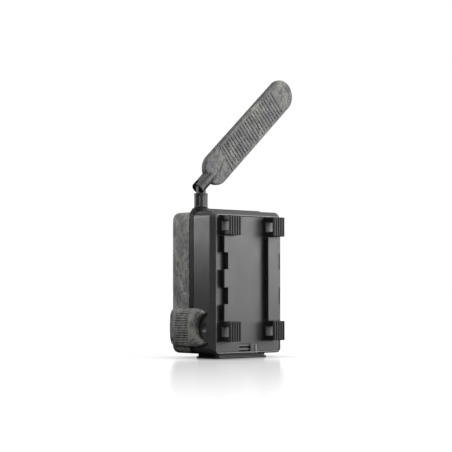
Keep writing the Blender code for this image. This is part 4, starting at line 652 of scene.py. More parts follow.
def latch_lever():
    """The lever's crowned face with its ribs, running down to a flat underside."""
    columns = LATCH_RIBS * 12 + 24
    rows = []
    for i in range(LATCH_STEPS + 1):
        share = i / LATCH_STEPS
        row = []
        for j in range(columns + 1):
            t = math.sin((j / columns - 0.5) * math.pi) * 0.25 + (2 * j / columns - 1) * 0.75
            tail = latch_tail(t)
            y = LATCH_LOW.y + (tail - LATCH_LOW.y) * share
            z = LATCH_MIDDLE + t * latch_half_height(y)
            edge = min(1.0, (share * (tail - LATCH_LOW.y)) / (1.2 * MM), (tail - y) / (0.9 * MM))
            rounding = 0.8 * MM * (1 - math.sqrt(max(0.0, 1 - (1 - edge) ** 2)))
            row.append(Vector((LATCH_LOW.x + latch_surface(y, t, tail - y) - rounding, y, z)))
        rows.append(row)
    bm = bmesh.new()
    top = surface(bm, rows)
    rim = top[0] + [row[-1] for row in top[1:]]
    rim += list(reversed(top[-1][:-1])) + [row[0] for row in reversed(top[1:-1])]
    skirt(bm, rim, [bm.verts.new((LATCH_LOW.x, v.co.y, v.co.z)) for v in rim])
    to_object("latch_lever_skin", bm, "housing_camo", "latch", ("latch_lever",), 45)


latch_lever()


# Rear half

BACK_BEVEL = 4.2 * MM
LOOP_BARS = 5
LOOP_BASE = 1.2 * MM
LOOP_SIDE = 4.5 * MM


def back_bead(name, finish, inset, rise, radius):
    """A round bead along the outline of the flat back, moved inwards by inset."""
    half = HALF_WIDTH - BACK_BEVEL - inset
    low = BODY_BOTTOM + 1.0 * MM + inset
    high = BODY_TOP - BACK_BEVEL - inset
    outline = rounded_ring(half, low, high, 3.3 * MM - inset, BACK_Y + rise, steps=8)
    bm = bmesh.new()
    tube_ring(bm, outline, radius)
    to_object(name, bm, finish, "rear_half", (), 60)


def strap_loop(node):
    """A square loop with five rounded bars across its outer plate."""
    low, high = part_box(node)
    front = high.y - 0.8 * MM
    y0, y1, z0, z1 = low.y + LOOP_BASE, high.y - 2.0 * MM, low.z + LOOP_SIDE, high.z - LOOP_SIDE
    outer = [(low.y, low.z), (front, low.z), (front, high.z), (low.y, high.z)]
    inner = [(y0, z0), (y1, z0), (y1, z1), (y0, z1)]
    faces = ((low.x, outer), (high.x, outer), (high.x, inner), (low.x, inner))
    bm = bmesh.new()
    closed_surface(bm, [[Vector((x, y, z)) for y, z in ring] for x, ring in faces])
    piece = to_object(node + "_skin", bm, "bracket_dark", "rear_half", (node,))
    bevelled(piece, 0.45 * MM, 3, 30)
    inset = 0.25 * MM
    pad = bmesh.new()
    pad_high = (high.x - inset, y0 + inset, z1 + 0.1 * MM)
    box(pad, (low.x + inset, y0 - 0.2 * MM, z0 - 0.1 * MM), pad_high)
    bevelled(to_object(node + "_pad", pad, "bead_dark", "rear_half"), 0.1 * MM, 2)
    width = (high.x - low.x) / LOOP_BARS
    half = width / 2 - 0.5 * MM
    tip, end = 0.1 * MM, 0.45 * MM
    bm = bmesh.new()
    for i in range(LOOP_BARS):
        middle = low.x + width * (i + 0.5)
        rings = []
        ends = ((low.z + tip, 0.75), (low.z + end, 1.0), (high.z - end, 1.0), (high.z - tip, 0.75))
        for z, shrink in ends:
            ring = []
            for k in range(13):
                turn = math.pi * k / 12
                y = high.y - 1.6 * MM + 1.6 * MM * shrink * math.sin(turn) ** 0.6
                ring.append(Vector((middle + math.cos(turn) * half * shrink, y, z)))
            ring += [Vector((middle + side * half * shrink, high.y - 1.9 * MM, z)) for side in (-1, 1)]
            rings.append(ring)
        capped_surface(bm, rings)
    to_object(node + "_bars", bm, "bracket_dark", "rear_half")


def foot():
    """The foot, with a lip round its lower edge and a bore for the thread insert."""
    low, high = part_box("foot")
    corner = 6 * MM
    half_x = (high.x - low.x) / 2 - corner
    half_y = (high.y - low.y) / 2 - corner
    insert_low, insert_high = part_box("tripod_insert")
    bore_x, bore_y, _ = (insert_low + insert_high) / 2
    reach = (insert_high.x - insert_low.x) / 2 + 0.3 * MM

    def outline(inset, z):
        points = []
        for x, y, turn in ((1, 1, 0), (-1, 1, 90), (-1, -1, 180), (1, -1, 270)):
            middle = Vector((x * half_x, y * half_y, z * MM))
            for i in range(11):
                a = math.radians(turn + 9 * i)
                points.append(middle + Vector((math.cos(a), math.sin(a), 0)) * (corner - inset * MM))
        return points

    def hole(z, more=0.0):
        points = []
        for point in outline(0.0, z):
            out = Vector((point.x - bore_x, point.y - bore_y, 0)).normalized()
            points.append(Vector((bore_x, bore_y, z * MM)) + out * (reach + more))
        return points

    top = high.z / MM
    lip = [(1.6, top), (1.6, 1.75), (1.4, 1.5), (0.3, 1.5), (0.05, 1.4)]
    lip += [(0.0, 1.2), (0.0, 0.35), (0.12, 0.1), (0.4, 0.0)]
    bm = bmesh.new()
    rings = [hole(top)] + [outline(inset, z) for inset, z in lip] + [hole(0.0, 0.5 * MM), hole(0.5)]
    closed_surface(bm, rings)
    to_object("foot_skin", bm, "frame_black", "rear_half", ("foot",), 30)


# the bead's pale grey is a painted highlight along the rounded edge of the back
back_bead("back_bead", "bead_painted_highlight", 0.45 * MM, 0.10 * MM, 0.60 * MM)
# a near-black ring where the groove round the back lies in shade: painted shade
back_bead("back_groove_painted_shade", "track_black_and_groove_shade", 1.25 * MM, -0.18 * MM, 0.30 * MM)
for node in frame["nodes"]:
    if node.startswith("strap_loop"):
        strap_loop(node)
foot()


# Middle frame

HINGE_PINS = ("hinge_pin_lower", "hinge_pin_upper")
HINGE_X, SEAM_Y, _ = sum(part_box(HINGE_PINS[0]), Vector()) / 2
FRAME_BACK_Y = BACK_Y - 27.1 * MM
FRAME_FRONT_Y = FRAME_BACK_Y - 6.1 * MM
RIDGE_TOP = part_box("mid_frame")[1].z
KNUCKLE_HALF = 4.0 * MM
KNUCKLE_RADIUS = 2.8 * MM
KNUCKLE_OFFSET = 8.6 * MM


def knuckle(bm, middle):
    """A hinge barrel with rounded ends, and the arm that carries it."""
    half = KNUCKLE_HALF
    radius = KNUCKLE_RADIUS
    end = [(1.4 * MM, half), (radius - 0.35 * MM, half)]
    end += [(radius - 0.1 * MM, half - 0.1 * MM), (radius, half - 0.35 * MM)]
    profile = [(r, -h) for r, h in end]
    profile += [(radius, (i / 4 - 0.5) * 2 * (half - 0.5 * MM)) for i in range(5)] + end[::-1]
    lathe(bm, (HINGE_X, SEAM_Y, middle), Z_AXIS, profile + [profile[0]], 40)
    root = 0.5 * MM - HALF_WIDTH
    corners = ((HINGE_X, 1.6), (root, 0.9), (root, 6.0), (HINGE_X - 0.2 * MM, 2.7))
    outline = [Vector((x, SEAM_Y - out * MM, middle - half)) for x, out in corners]
    prism(bm, outline, Z_AXIS * 2 * half)


def mid_frame():
    """The frame between the halves: seal land, ridge, hinge barrels and the antenna's stepped base."""
    soft = 0.45 * MM
    shallow = 0.12 * MM
    ridge = RIDGE_TOP - BODY_TOP
    back, ahead = FRAME_BACK_Y, FRAME_FRONT_Y
    length = back - ahead - 2 * soft

    def ring(y, inset, raised=0.0):
        radius = max(CORNER_RADIUS - inset, 1.2 * MM)
        top = BODY_TOP - inset + raised
        return rounded_ring(HALF_WIDTH - inset, BODY_BOTTOM + inset, top, radius, y, steps=12)

    outside = [(ahead, soft), (ahead + 0.15 * MM, shallow), (ahead + soft, 0.0)]
    outside += [(ahead + soft + length * i / 4, shallow if i == 2 else 0.0) for i in range(1, 4)]
    outside += [(back - soft, 0.0), (back - 0.15 * MM, shallow), (back, soft)]
    inside = [(0, 0.9), (-1.2, 0.9), (-1.2, 2.4), (0, 2.4), (0, 3.0)]
    inside += [(2.2, 3.0), (2.4, 3.3), (2.4, 4.6), (2.2, 4.8)]
    rings = [ring(y, inset, ridge) for y, inset in outside]
    rings += [ring(back + y * MM, inset * MM) for y, inset in inside]
    bm = bmesh.new()
    closed_surface(bm, rings + [ring(ahead, 4.8 * MM)])
    for pin in HINGE_PINS:
        low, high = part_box(pin)
        for offset in (-KNUCKLE_OFFSET, KNUCKLE_OFFSET):
            knuckle(bm, (low.z + high.z) / 2 + offset)
    base = [(9.6, 7.3, -2.2), (9.6, 7.3, -0.9), (9.5, 7.2, -0.65), (9.1, 6.9, -0.5)]
    base += [(8.6, 7.0, -0.5), (8.6, 7.0, -0.15), (8.4, 6.85, 0.0)]
    centre = Vector((PIVOT.x, PIVOT.y, RIDGE_TOP))
    rings = []
    for x, y, z in base:
        rings.append([centre + Vector((math.cos(a) * x, math.sin(a) * y, z)) * MM for a in turns(72)])
    capped_surface(bm, rings)
    to_object("mid_frame_skin", bm, "seam_black", "front_half", ("mid_frame",))


mid_frame()


# Lock at the foot of the back


def lock_track():
    """A dark bed with three pale bars."""
    low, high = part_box("lock_track")
    bm = bmesh.new()
    box(bm, low, (high.x, high.y - 0.5 * MM, high.z))
    to_object("lock_bed", bm, "track_black_and_groove_shade", "rear_half", ("lock_track",))
    step = (high.z - low.z) / 5
    side = 0.3 * MM
    bm = bmesh.new()
    for i in range(3):
        z = low.z + step * 2 * i
        bar_high = (high.x - side, high.y, z + step - 0.55 * MM)
        box(bm, (low.x + side, high.y - 0.6 * MM, z + 0.05 * MM), bar_high)
    bevelled(to_object("lock_bars", bm, "bead_dark", "rear_half"), 0.2 * MM)


def lock_slider():
    """A block with a tall rib along one side, for a fingernail, and three low ones beside it."""
    low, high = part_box("lock_slider")
    foot_y = high.y - 1.1 * MM
    bm = bmesh.new()
    box(bm, low, (high.x, high.y - 0.9 * MM, high.z))
    rib_high = (low.x + 3.8 * MM, high.y, high.z - 0.3 * MM)
    box(bm, (low.x + 1.4 * MM, foot_y, low.z + 0.3 * MM), rib_high)
    for i in range(3):
        x = low.x + (5.0 + 1.3 * i) * MM
        box(bm, (x, foot_y, low.z + 0.6 * MM), (x + 0.6 * MM, high.y - 0.5 * MM, high.z - 0.6 * MM))
    piece = to_object("lock_slider_skin", bm, "bead_dark", "lock", ("lock_slider",))
    bevelled(piece, 0.2 * MM)


lock_track()
lock_slider()


# Face of the camera

FACE_Y = FASCIA_LOW.y
LENS_CENTRE = sum(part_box("lens_bezel"), Vector()) / 2
LED_COLUMNS = 7
LED_ROWS = 3
LED_PITCH = 7.6 * MM


def front_lathe(name, finish, base, profile, steps, angle, replaced=()):
    """A turned piece of the front half that faces forwards."""
    bm = bmesh.new()
    lathe(bm, base, FORWARD, profile, steps)
    to_object(name, bm, finish, "front_half", replaced, angle)


def lens_place(node):
    """A lens part's radius and length, and the middle of its rear face."""
    low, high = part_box(node)
    return (high.x - low.x) / 2, high.y - low.y, Vector((LENS_CENTRE.x, high.y, LENS_CENTRE.z))


def lens():
    """A stepped bezel, a barrel with baffles, two glass elements and an iris."""
    outer, length, base = lens_place("lens_bezel")
    inner = 8.6 * MM
    lip = 1.4 * MM
    funnel = outer - 2.0 * MM
    rim = length - 0.25 * MM
    profile = [(inner, 0.0), (outer, 0.0), (outer, length - lip)]
    profile += quarter(outer - lip, length - lip, lip, lip, 6)
    profile += [(outer - 1.7 * MM, length), (outer - 1.75 * MM, rim), (funnel, rim)]
    for i in range(6):
        radius = funnel - 1.6 * MM * i / 6
        height = rim - 1.9 * MM * i / 6
        profile += [(radius, height), (radius, height - 0.3 * MM)]
    profile += [(inner, length - 2.6 * MM), (inner, 0.0)]
    nodes = ("lens_bezel",)
    front_lathe("lens_bezel_rings", "gloss_black", base, profile, 96, 30, nodes)
    radius, length, base = lens_place("lens_barrel")
    bore = 6.95 * MM
    pupil = 3.2 * MM
    profile = [(radius, 0.0), (radius, length - 0.4 * MM), (radius - 0.4 * MM, length)]
    profile += [(radius - 1.0 * MM, length), (bore, length - 0.3 * MM), (bore, length - 3.2 * MM)]
    for i in range(5):
        depth = length - (3.4 + 1.2 * i) * MM
        baffle = (5.4 - 0.35 * i) * MM
        profile += [(baffle, depth), (baffle, depth - 0.5 * MM), (baffle + 0.5 * MM, depth - 0.6 * MM)]
    profile += [(pupil, 1.2 * MM), (pupil, 0.0), (radius, 0.0)]
    nodes = ("lens_barrel",)
    front_lathe("lens_barrel_baffles", "frame_black", base, profile, 80, 30, nodes)
    radius, depth, base = lens_place("lens_glass")
    waist = depth * 0.35
    dome = [(radius * i / 8, 0.15 * MM * (1 - (i / 8) ** 2)) for i in range(9)]
    dome += [(radius, waist)] + quarter(0.0, waist, radius, depth * 0.65, 14)
    nodes = ("lens_glass",)
    front_lathe("lens_front_element", "lens_glass", base, dome, 72, 40, nodes)
    blades = ((4.6, 0.0), (4.6, 0.3), (2.1, 0.5), (1.9, 0.3), (1.9, 0.0), (4.6, 0.0))
    iris = [(r * MM, h * MM) for r, h in blades]
    front_lathe("lens_iris", "gloss_black", base + Y_AXIS * 4.2 * MM, iris, 9, 30)
    edge = 2.6 * MM
    rear = [(0.0, 0.0), (edge, 0.0), (edge, 0.3 * MM)] + quarter(0.0, 0.3 * MM, edge, 0.9 * MM, 8)
    front_lathe("lens_rear_element", "lens_glass", base + Y_AXIS * 6.2 * MM, rear, 48, 40)


def motion_lens():
    """The motion sensor's dome: three rings of lens facets with fine concentric steps."""
    low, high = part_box("pir_lens")
    radius = (high.x - low.x) / 2
    centre = Vector(((low.x + high.x) / 2, high.y, (low.z + high.z) / 2))
    rim = 2.5 * MM
    wall = 1.2 * MM
    dome = (high.y - low.y) - rim - 0.02 * MM
    facets = [(0.0, 0.0)]
    for reach, count, start in ((5.4 * MM, 6, 0.0), (10.2 * MM, 12, 0.5)):
        angles = [2 * math.pi * (k + start) / count for k in range(count)]
        facets += [(reach * math.cos(a), reach * math.sin(a)) for a in angles]

    def rise(r, turn):
        u, v = r * math.cos(turn), r * math.sin(turn)
        near = min(math.hypot(u - a, v - b) for a, b in facets)
        share = min(1.0, r / radius)
        height = rim + dome * math.sqrt(max(0.0, 1 - share**2.2))
        step = (near / (0.62 * MM)) % 1.0
        facet = 0.30 * MM * (near / (2.8 * MM)) ** 2 + 0.10 * MM * step
        return height - smoothstep(1.0, 0.9, share) * facet

    def ring(r, height):
        return [centre + Vector((r * math.cos(a), -height(r, a), r * math.sin(a))) for a in turns(144)]

    rows = [ring(radius * math.sin(math.pi / 2 * i / 70) if i else 0.01 * MM, rise) for i in range(71)]
    rows.append(ring(radius, lambda r, a: 0.0))
    for i in range(12):
        share = math.cos(math.pi / 2 * i / 12)
        height = rim + (dome - wall) * math.sqrt(max(0.0, 1 - share**2.2)) if i else 0.0
        rows.append(ring((radius - wall) * share, lambda r, a: height))
    bm = bmesh.new()
    capped_surface(bm, rows)
    to_object("pir_facets", bm, "lens_white", "front_half", ("pir_lens",), 25)
    collar = ((0.35, 0.0), (1.6, 0.0), (1.6, 0.35), (1.2, 0.8), (0.75, 0.9), (0.35, 0.6), (0.35, 0.0))
    profile = [(radius + r * MM, h * MM) for r, h in collar]
    base = (centre.x, FACE_Y + 0.1 * MM, centre.z)
    front_lathe("pir_rim", "frame_black", base, profile, 96, 35)


def emitters():
    """The emitter board with three rows of domed emitters in their cups."""
    low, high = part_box("ir_led_board")
    board_front = high.y - 1.6 * MM
    bm = bmesh.new()
    box(bm, (low.x, board_front, low.z), high)
    piece = to_object("emitter_board", bm, "circuit", "front_half", ("ir_led_board",))
    bevelled(piece, 0.15 * MM)
    middle = (low.z + high.z) / 2
    height = board_front - low.y
    base, dome = 2.5 * MM, 2.15 * MM
    profile = [(0.0, 0.0), (base, 0.0), (base, 0.5 * MM), (dome, 0.6 * MM), (dome, height * 0.45)]
    profile += quarter(0.0, height * 0.45, dome, height * 0.5, 7)
    ring = ((2.65, 0.0), (3.2, 0.0), (3.45, 1.1), (3.3, 1.15), (2.75, 0.3), (2.65, 0.0))
    cup = [(r * MM, h * MM) for r, h in ring]
    domes = bmesh.new()
    cups = bmesh.new()
    for row in range(LED_ROWS):
        for column in range(LED_COLUMNS):
            x = (column - (LED_COLUMNS - 1) / 2) * LED_PITCH
            centre = Vector((x, board_front, middle + (row - (LED_ROWS - 1) / 2) * LED_PITCH))
            lathe(domes, centre, FORWARD, profile, 24)
            lathe(cups, centre, FORWARD, cup, 24)
    to_object("emitter_domes", domes, "emitter", "front_half")
    to_object("emitter_cups", cups, "steel", "front_half")


def face_trim():
    """A bead round the window and another round the fascia."""
    low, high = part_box("ir_window")
    edge = 0.9 * MM
    inset = 1.8 * MM
    half = (high.x - low.x) / 2 + edge
    bm = bmesh.new()
    outline = rounded_ring(half, low.z - edge, high.z + edge, 3.6 * MM, FACE_Y + 0.02 * MM)
    tube_ring(bm, outline, 0.42 * MM)
    bottom, top = FASCIA_LOW.z + inset, FASCIA_HIGH.z - inset
    tube_ring(bm, rounded_ring(31.2 * MM, bottom, top, 7.4 * MM, FACE_Y + 0.05 * MM), 0.30 * MM)
    to_object("face_beads", bm, "frame_black", "front_half", (), 60)


lens()
motion_lens()
emitters()
face_trim()


# Inside


def screw(bm, centre, radius):
    """A pan head with a cross recess, facing back."""

    def ring(r, height):
        return [centre + Vector((r * math.cos(a), height(r, a), -r * math.sin(a))) for a in turns(48)]

    def head(r, turn):
        u, v = abs(r * math.cos(turn)), abs(r * math.sin(turn))
        slot = min(u, v) < radius * 0.16 and max(u, v) < radius * 0.62
        share = min(1.0, r / radius)
        dome = radius * 0.42 * math.sqrt(max(0.0, 1 - 0.85 * share**2))
        return dome - (radius * 0.28 if slot else 0.0)

    rows = [ring(radius * i / 14 if i else 0.01 * MM, head) for i in range(15)]
    capped_surface(bm, rows + [ring(radius, lambda r, a: 0.0)])


def cell(node, up):
    """A cell: steel can, printed sleeve with rolled ends, a band and a raised terminal."""
    low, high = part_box(node)
    radius = (high.x - low.x) / 2
    axis = Z_AXIS if up else -Z_AXIS
    centre = Vector(((low.x + high.x) / 2, (low.y + high.y) / 2, low.z if up else high.z))
    can = (high.z - low.z) - 1.2 * MM
    joint = can * 0.70
    wall = radius - 1.1 * MM
    sleeve = [(radius - 1.0 * MM, 0.45 * MM), (radius - 0.7 * MM, 0.12 * MM)]
    sleeve += [(radius - 0.3 * MM, 0.08 * MM)]
    sleeve += [(radius, 0.5 * MM + (joint - 0.5 * MM) * i / 8) for i in range(9)]
    sleeve += [(wall, joint), sleeve[0]]
    start = joint + 0.01 * MM
    band = [(wall, start), (radius, start)]
    band += [(radius, joint + (can - 0.5 * MM - joint) * i / 4) for i in range(1, 5)]
    band += [(radius - 0.25 * MM, can - 0.1 * MM), (radius - 0.7 * MM, can - 0.05 * MM)]
    band += [(wall, can - 0.35 * MM), (wall, start)]
    inner = radius - 1.15 * MM
    ends = [(0.0, 0.1 * MM), (radius - 2.4 * MM, 0.1 * MM), (radius - 2.0 * MM, 0.3 * MM)]
    ends += [(inner, 0.35 * MM), (inner, can - 0.5 * MM), (radius - 2.2 * MM, can - 0.5 * MM)]
    ends += [(3.3 * MM, can - 0.3 * MM)]
    terminal = ((2.75, -0.1), (2.75, 0.9), (2.45, 1.15), (0.0, 1.18))
    ends += [(r * MM, can + h * MM) for r, h in terminal]
    parts = [("_sleeve", "cell", "cell", sleeve, 48), ("_band", "cell_band", "cell", band, 48)]
    parts += [("_can", "steel", "steel", ends, 36)]
    for suffix, finish, slot, profile, steps in parts:
        bm = bmesh.new()
        lathe(bm, centre, axis, profile, steps)
        to_object(node + suffix, bm, finish, "rear_half", (node,) if suffix == "_sleeve" else ())


def key(node, chevron):
    """A domed rubber key with a raised mark: an arrow head, or a ring on the middle one."""
    low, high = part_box(node)
    body = node.replace("key_", "button_")
    centre = Vector(((low.x + high.x) / 2, low.y, (low.z + high.z) / 2))
    flange = (high.x - low.x) / 2
    height = high.y - low.y
    cap = 3.6 * MM
    shoulder = height - 0.95 * MM
    soft = 0.55 * MM
    profile = [(0.0, 0.0), (flange, 0.0), (flange, 0.6 * MM), (flange - 0.2 * MM, 0.8 * MM)]
    profile += [(cap + 0.15 * MM, 0.8 * MM), (cap, 0.95 * MM), (cap, shoulder)]
    profile += quarter(cap - soft, shoulder, soft, soft, 6)
    profile += [(2.2 * MM, height - 0.55 * MM), (0.0, height - 0.62 * MM)]
    bm = bmesh.new()
    lathe(bm, centre, Y_AXIS, profile, 56)
    to_object(node + "_cap", bm, "key_rubber", body, (node,))
    bm = bmesh.new()
    face = Vector((centre.x, high.y - 0.75 * MM, centre.z))
    if chevron is None:
        ring = ((1.1, 0.0), (1.7, 0.0), (1.7, 0.5), (1.55, 0.68), (1.25, 0.68), (1.1, 0.5), (1.1, 0.0))
        lathe(bm, face, Y_AXIS, [(r * MM, h * MM) for r, h in ring], 40)
    else:
        turn = math.radians(chevron)
        out = Vector((math.cos(turn), 0, math.sin(turn)))
        beside = Vector((-math.sin(turn), 0, math.cos(turn)))
        arrow = ((1.5, 0.0), (-0.3, 1.6), (-0.9, 1.2), (0.5, 0.0), (-0.9, -1.2), (-0.3, -1.6))
        prism(bm, [face + out * a * MM + beside * b * MM for a, b in arrow], Y_AXIS * 0.65 * MM)
    bevelled(to_object(node + "_mark", bm, "lens_white", body), 0.12 * MM, 2)


def display():
    """A framed screen."""
    low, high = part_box("display")
    middle = (low + high) / 2
    half = (high - low) / 2
    border = 2.6 * MM

    def ring(y, inset, radius):
        bottom, top = middle.z - half.z + inset, middle.z + half.z - inset
        return rounded_ring(half.x - inset, bottom, top, radius * MM, y, middle.x, 6)

    rings = [ring(low.y, 0, 1.5), ring(high.y - 0.5 * MM, 0, 1.5), ring(high.y - 0.1 * MM, 0.2 * MM, 1.4)]
    rings += [ring(high.y, 0.5 * MM, 1.2), ring(high.y, border - 0.5 * MM, 1.0)]
    rings += [ring(high.y - 0.5 * MM, border, 0.8), ring(high.y - 0.9 * MM, border, 0.8)]
    rings += [ring(low.y, border, 0.8)]
    bm = bmesh.new()
    closed_surface(bm, rings)
    to_object("display_frame", bm, "gloss_black", "front_half", ("display",))
    inset = border + 0.02 * MM
    glass = [ring(low.y + 0.5 * MM, inset, 0.8), ring(high.y - 0.75 * MM, inset, 0.8)]
    bm = bmesh.new()
    capped_surface(bm, glass + [ring(high.y - 0.7 * MM, inset + 0.1 * MM, 0.75)])
    to_object("display_glass", bm, "screen", "front_half")


def card():
    """The memory card: a body with one cut corner, a raised panel, grip ribs and contacts."""
    low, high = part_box("memory_card")
    cut = 3.2 * MM
    skin_y = high.y - 0.4 * MM
    corners = [(low.x, low.z), (high.x - cut, low.z), (high.x, low.z + cut)]
    corners += [(high.x, high.z), (low.x, high.z)]
    bm = bmesh.new()
    prism(bm, [Vector((x, low.y, z)) for x, z in corners], Y_AXIS * (high.y - low.y - 0.25 * MM))
    panel_high = (high.x - 2 * MM, high.y - 0.1 * MM, high.z - 4 * MM)
    box(bm, (low.x + 2 * MM, skin_y, low.z + 9 * MM), panel_high)
    for i in range(5):
        z = high.z - (1.0 + 0.6 * i) * MM
        box(bm, (low.x + 6 * MM, skin_y, z - 0.15 * MM), (high.x - 6 * MM, high.y, z + 0.15 * MM))
    piece = to_object("memory_card_shell", bm, "card", "card", ("memory_card",))
    bevelled(piece, 0.15 * MM, 2)
    bm = bmesh.new()
    for i in range(9):
        x = low.x + (2.6 + 2.4 * i) * MM
        box(bm, (x - 0.8 * MM, low.y, low.z + 1.2 * MM), (x + 0.8 * MM, low.y + 0.1 * MM, low.z + 5.2 * MM))
    bevelled(to_object("memory_card_contacts", bm, "brass", "card"), 0.03 * MM, 1)


def panel_screws():
    """A screw in each corner of the control panel."""
    low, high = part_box("control_panel")
    inset = 4.2 * MM
    bm = bmesh.new()
    for x in (low.x + inset, high.x - inset):
        for z in (low.z + inset, high.z - inset):
            screw(bm, Vector((x, high.y, z)), 2.2 * MM)
    to_object("panel_screws", bm, "steel", "front_half")


for number in range(8):
    cell(f"cell_{number + 1}", number % 4 % 2 == 0)
key("key_ok", None)
for direction, chevron in (("up", 90), ("down", 270), ("left", 0), ("right", 180)):
    key("key_" + direction, chevron)
display()
card()
panel_screws()


# Finishes and edges of the CAD nodes that stay

KEPT = {
    "housing_dark": ("rear_shell", "strap_rail_latch_side", "strap_rail_hinge_side"),
    "frame_black": ("battery_tray", "front_fascia", "control_panel", "power_switch"),
    "brass": ("tripod_insert", "antenna_connector"),
    "steel": ("card_socket", "modem", "pir_sensor", "latch_pin"),
    "rubber": ("door_seal", "coax_lead"),
    "circuit": ("sensor_board", "main_board", "antenna_radiator"),
    "collar_black": ("antenna_pin",),
    "housing_camo": ("front_cover",),
    "ir_filter": ("ir_window",),
    "lens_white": ("status_light",),
}
KEPT["steel"] += tuple(node for node in frame["nodes"] if node.startswith(("contacts", "hinge_pin")))
for finish, nodes in KEPT.items():
    for node in nodes:
        piece = frame["nodes"][node]
        piece.data.materials.clear()
        piece.data.materials.append(FINISHES[finish])

EDGES = {
    "rear_shell": 0.2, "front_cover": 0.25, "strap_rail_latch_side": 0.25, "strap_rail_hinge_side": 0.25,
    "front_fascia": 0.2, "battery_tray": 0.2, "control_panel": 0.15,
}
for node, width in EDGES.items():
    bevelled(frame["nodes"][node], width * MM)


# Studio

VIEW_AZIMUTH = math.radians(137.80)
VIEW_OUT = Vector((math.sin(VIEW_AZIMUTH), -math.cos(VIEW_AZIMUTH), 0))
DARK_SIDE = Vector((0.66, -0.72, -0.20))
ROOM_LIGHT = 0.14
FLOOR_SHEEN = 0.62


def area_light(name, location, target, size, power):
    lamp = bpy.data.lights.new(name, "AREA")
    lamp.energy = power
    lamp.size = size
    holder = bpy.data.objects.new(name, lamp)
    holder.location = location
    holder.rotation_euler = (Vector(target) - Vector(location)).to_track_quat("-Z", "Y").to_euler()
    bpy.context.scene.collection.objects.link(holder)
    return holder


def floor_material():
    """White, with a contact shade under the object and a reflection that fades away from it."""
    made = bpy.data.materials.new("floor_white")
    made.use_nodes = True
    nodes = made.node_tree.nodes
    nodes.remove(nodes["Principled BSDF"])
    near = add_node(made, "AmbientOcclusion", {"Distance": 0.03}, samples=8).outputs["AO"]
    span = {"Value": near, "To Min": 0.10, "To Max": 1.05}
    contact = add_node(made, "MapRange", span).outputs["Result"]
    glow = add_node(made, "Emission", {"Strength": contact}).outputs[0]
    matt = add_node(made, "BsdfDiffuse", {"Color": (0.30, 0.30, 0.30, 1)}).outputs[0]
    bright = add_node(made, "AddShader", {0: matt, 1: glow}).outputs[0]
    gloss = add_node(made, "BsdfGlossy", {"Roughness": 0.14}).outputs[0]
    where = add_node(made, "TexCoord", {}).outputs["Object"]
    away = add_node(made, "VectorMath", {0: where}, operation="LENGTH").outputs["Value"]
    span = {"Value": away, "From Min": -0.25, "From Max": 1.05, "To Min": FLOOR_SHEEN, "To Max": 0.0}
    fade = add_node(made, "MapRange", span, interpolation_type="SMOOTHERSTEP").outputs["Result"]
    sheen = add_node(made, "MixShader", {0: fade, 1: bright, 2: gloss}).outputs[0]
    unlit = add_node(made, "BsdfDiffuse", {"Color": (0.12, 0.12, 0.12, 1)}).outputs[0]
    seen = add_node(made, "LightPath", {}).outputs["Is Camera Ray"]
    whole = add_node(made, "MixShader", {0: seen, 1: unlit, 2: sheen}).outputs[0]
    link(made, whole, nodes["Material Output"].inputs["Surface"])
    return made


def floor():
    """A pale seamless sheet, which throws little light back up at the object."""
    bm = bmesh.new()
    bmesh.ops.create_grid(bm, x_segments=1, y_segments=1, size=30.0)
    mesh = bpy.data.meshes.new("floor")
    bm.to_mesh(mesh)
    bm.free()
    mesh.materials.append(floor_material())
    sheet = bpy.data.objects.new("floor", mesh)
    sheet.location = (0, 0, CAD_LOW.z)
    bpy.context.scene.collection.objects.link(sheet)
    return sheet


def limit_reach(lamp, sheet, state):
    """Lets a lamp reach only the floor (INCLUDE), or everything but the floor (EXCLUDE)."""
    chosen = bpy.data.collections.new(lamp.name + "_reach")
    chosen.objects.link(sheet)
    lamp.light_linking.receiver_collection = chosen
    chosen.collection_objects[0].light_linking.link_state = state


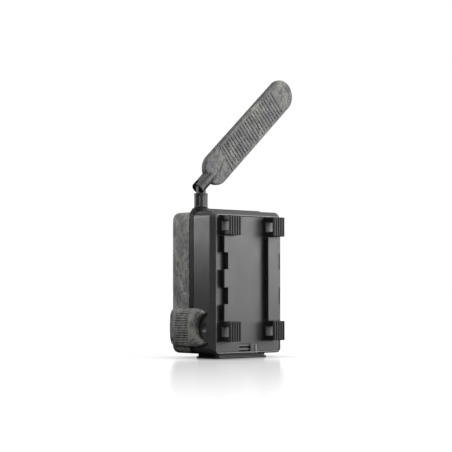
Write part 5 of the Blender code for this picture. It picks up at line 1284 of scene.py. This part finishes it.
def world():
    """White to the camera, a dim room to the object's finishes, and darker still beside its latch."""
    made = bpy.data.worlds.new("studio")
    bpy.context.scene.world = made
    made.use_nodes = True
    where = add_node(made, "TexCoord", {}).outputs["Generated"]
    toward = add_node(made, "VectorMath", {0: where, 1: DARK_SIDE}, operation="DOT_PRODUCT")
    span = {"Value": toward.outputs["Value"], "From Min": 0.30, "From Max": 0.72}
    span |= {"To Min": 1.0, "To Max": 0.04}
    lobe = add_node(made, "MapRange", span).outputs["Result"]
    seen = add_node(made, "LightPath", {}).outputs
    scale = {0: seen["Is Diffuse Ray"], 1: ROOM_LIGHT - 1.0, 2: 1.0}
    dim = add_node(made, "Math", scale, operation="MULTIPLY_ADD").outputs[0]
    lit = add_node(made, "Math", {0: dim, 1: lobe}, operation="MULTIPLY").outputs[0]
    brightest = {0: seen["Is Camera Ray"], 1: lit}
    strength = add_node(made, "Math", brightest, operation="MAXIMUM").outputs[0]
    back = made.node_tree.nodes["Background"]
    back.inputs["Color"].default_value = (1, 1, 1, 1)
    link(made, strength, back.inputs["Strength"])


def camera():
    """At the height of the housing's lower half, seen from behind its latch side."""
    distance = 1339.4 * MM
    height = 64.6 * MM
    pitch = math.atan(64.2 / 1383.5)
    yaw = math.radians(0.233)
    data = bpy.data.cameras.new("camera")
    data.sensor_width = 36
    data.lens = 110.2
    data.clip_start = 0.05
    data.clip_end = 60
    holder = bpy.data.objects.new("camera", data)
    holder.location = VIEW_OUT * distance + Z_AXIS * height
    ahead = Matrix.Rotation(yaw, 3, "Z") @ -VIEW_OUT
    look = ahead * math.cos(pitch) + Z_AXIS * math.sin(pitch)
    holder.rotation_euler = look.to_track_quat("-Z", "Y").to_euler()
    bpy.context.scene.collection.objects.link(holder)
    bpy.context.scene.camera = holder


sheet = floor()
world()
camera()
area_light("key", (-0.82, 0.90, 0.25), (0, 0, 0.1), 1.3, 25.8)
limit_reach(area_light("side", (0.315, -0.30, 0.215), (0.05, 0, 0.13), 0.17, 0.75), sheet, "EXCLUDE")
sweep = area_light("sweep", DARK_SIDE.normalized() * 9 + Z_AXIS * 5, (0, 0, 0), 22, 1450)
sweep.visible_camera = False
sweep.visible_diffuse = False
limit_reach(sweep, sheet, "INCLUDE")
area_light("top", (0.1, 0.1, 1.2), (0, 0, 0), 0.8, 4)
bpy.context.scene.view_settings.view_transform = "Standard"
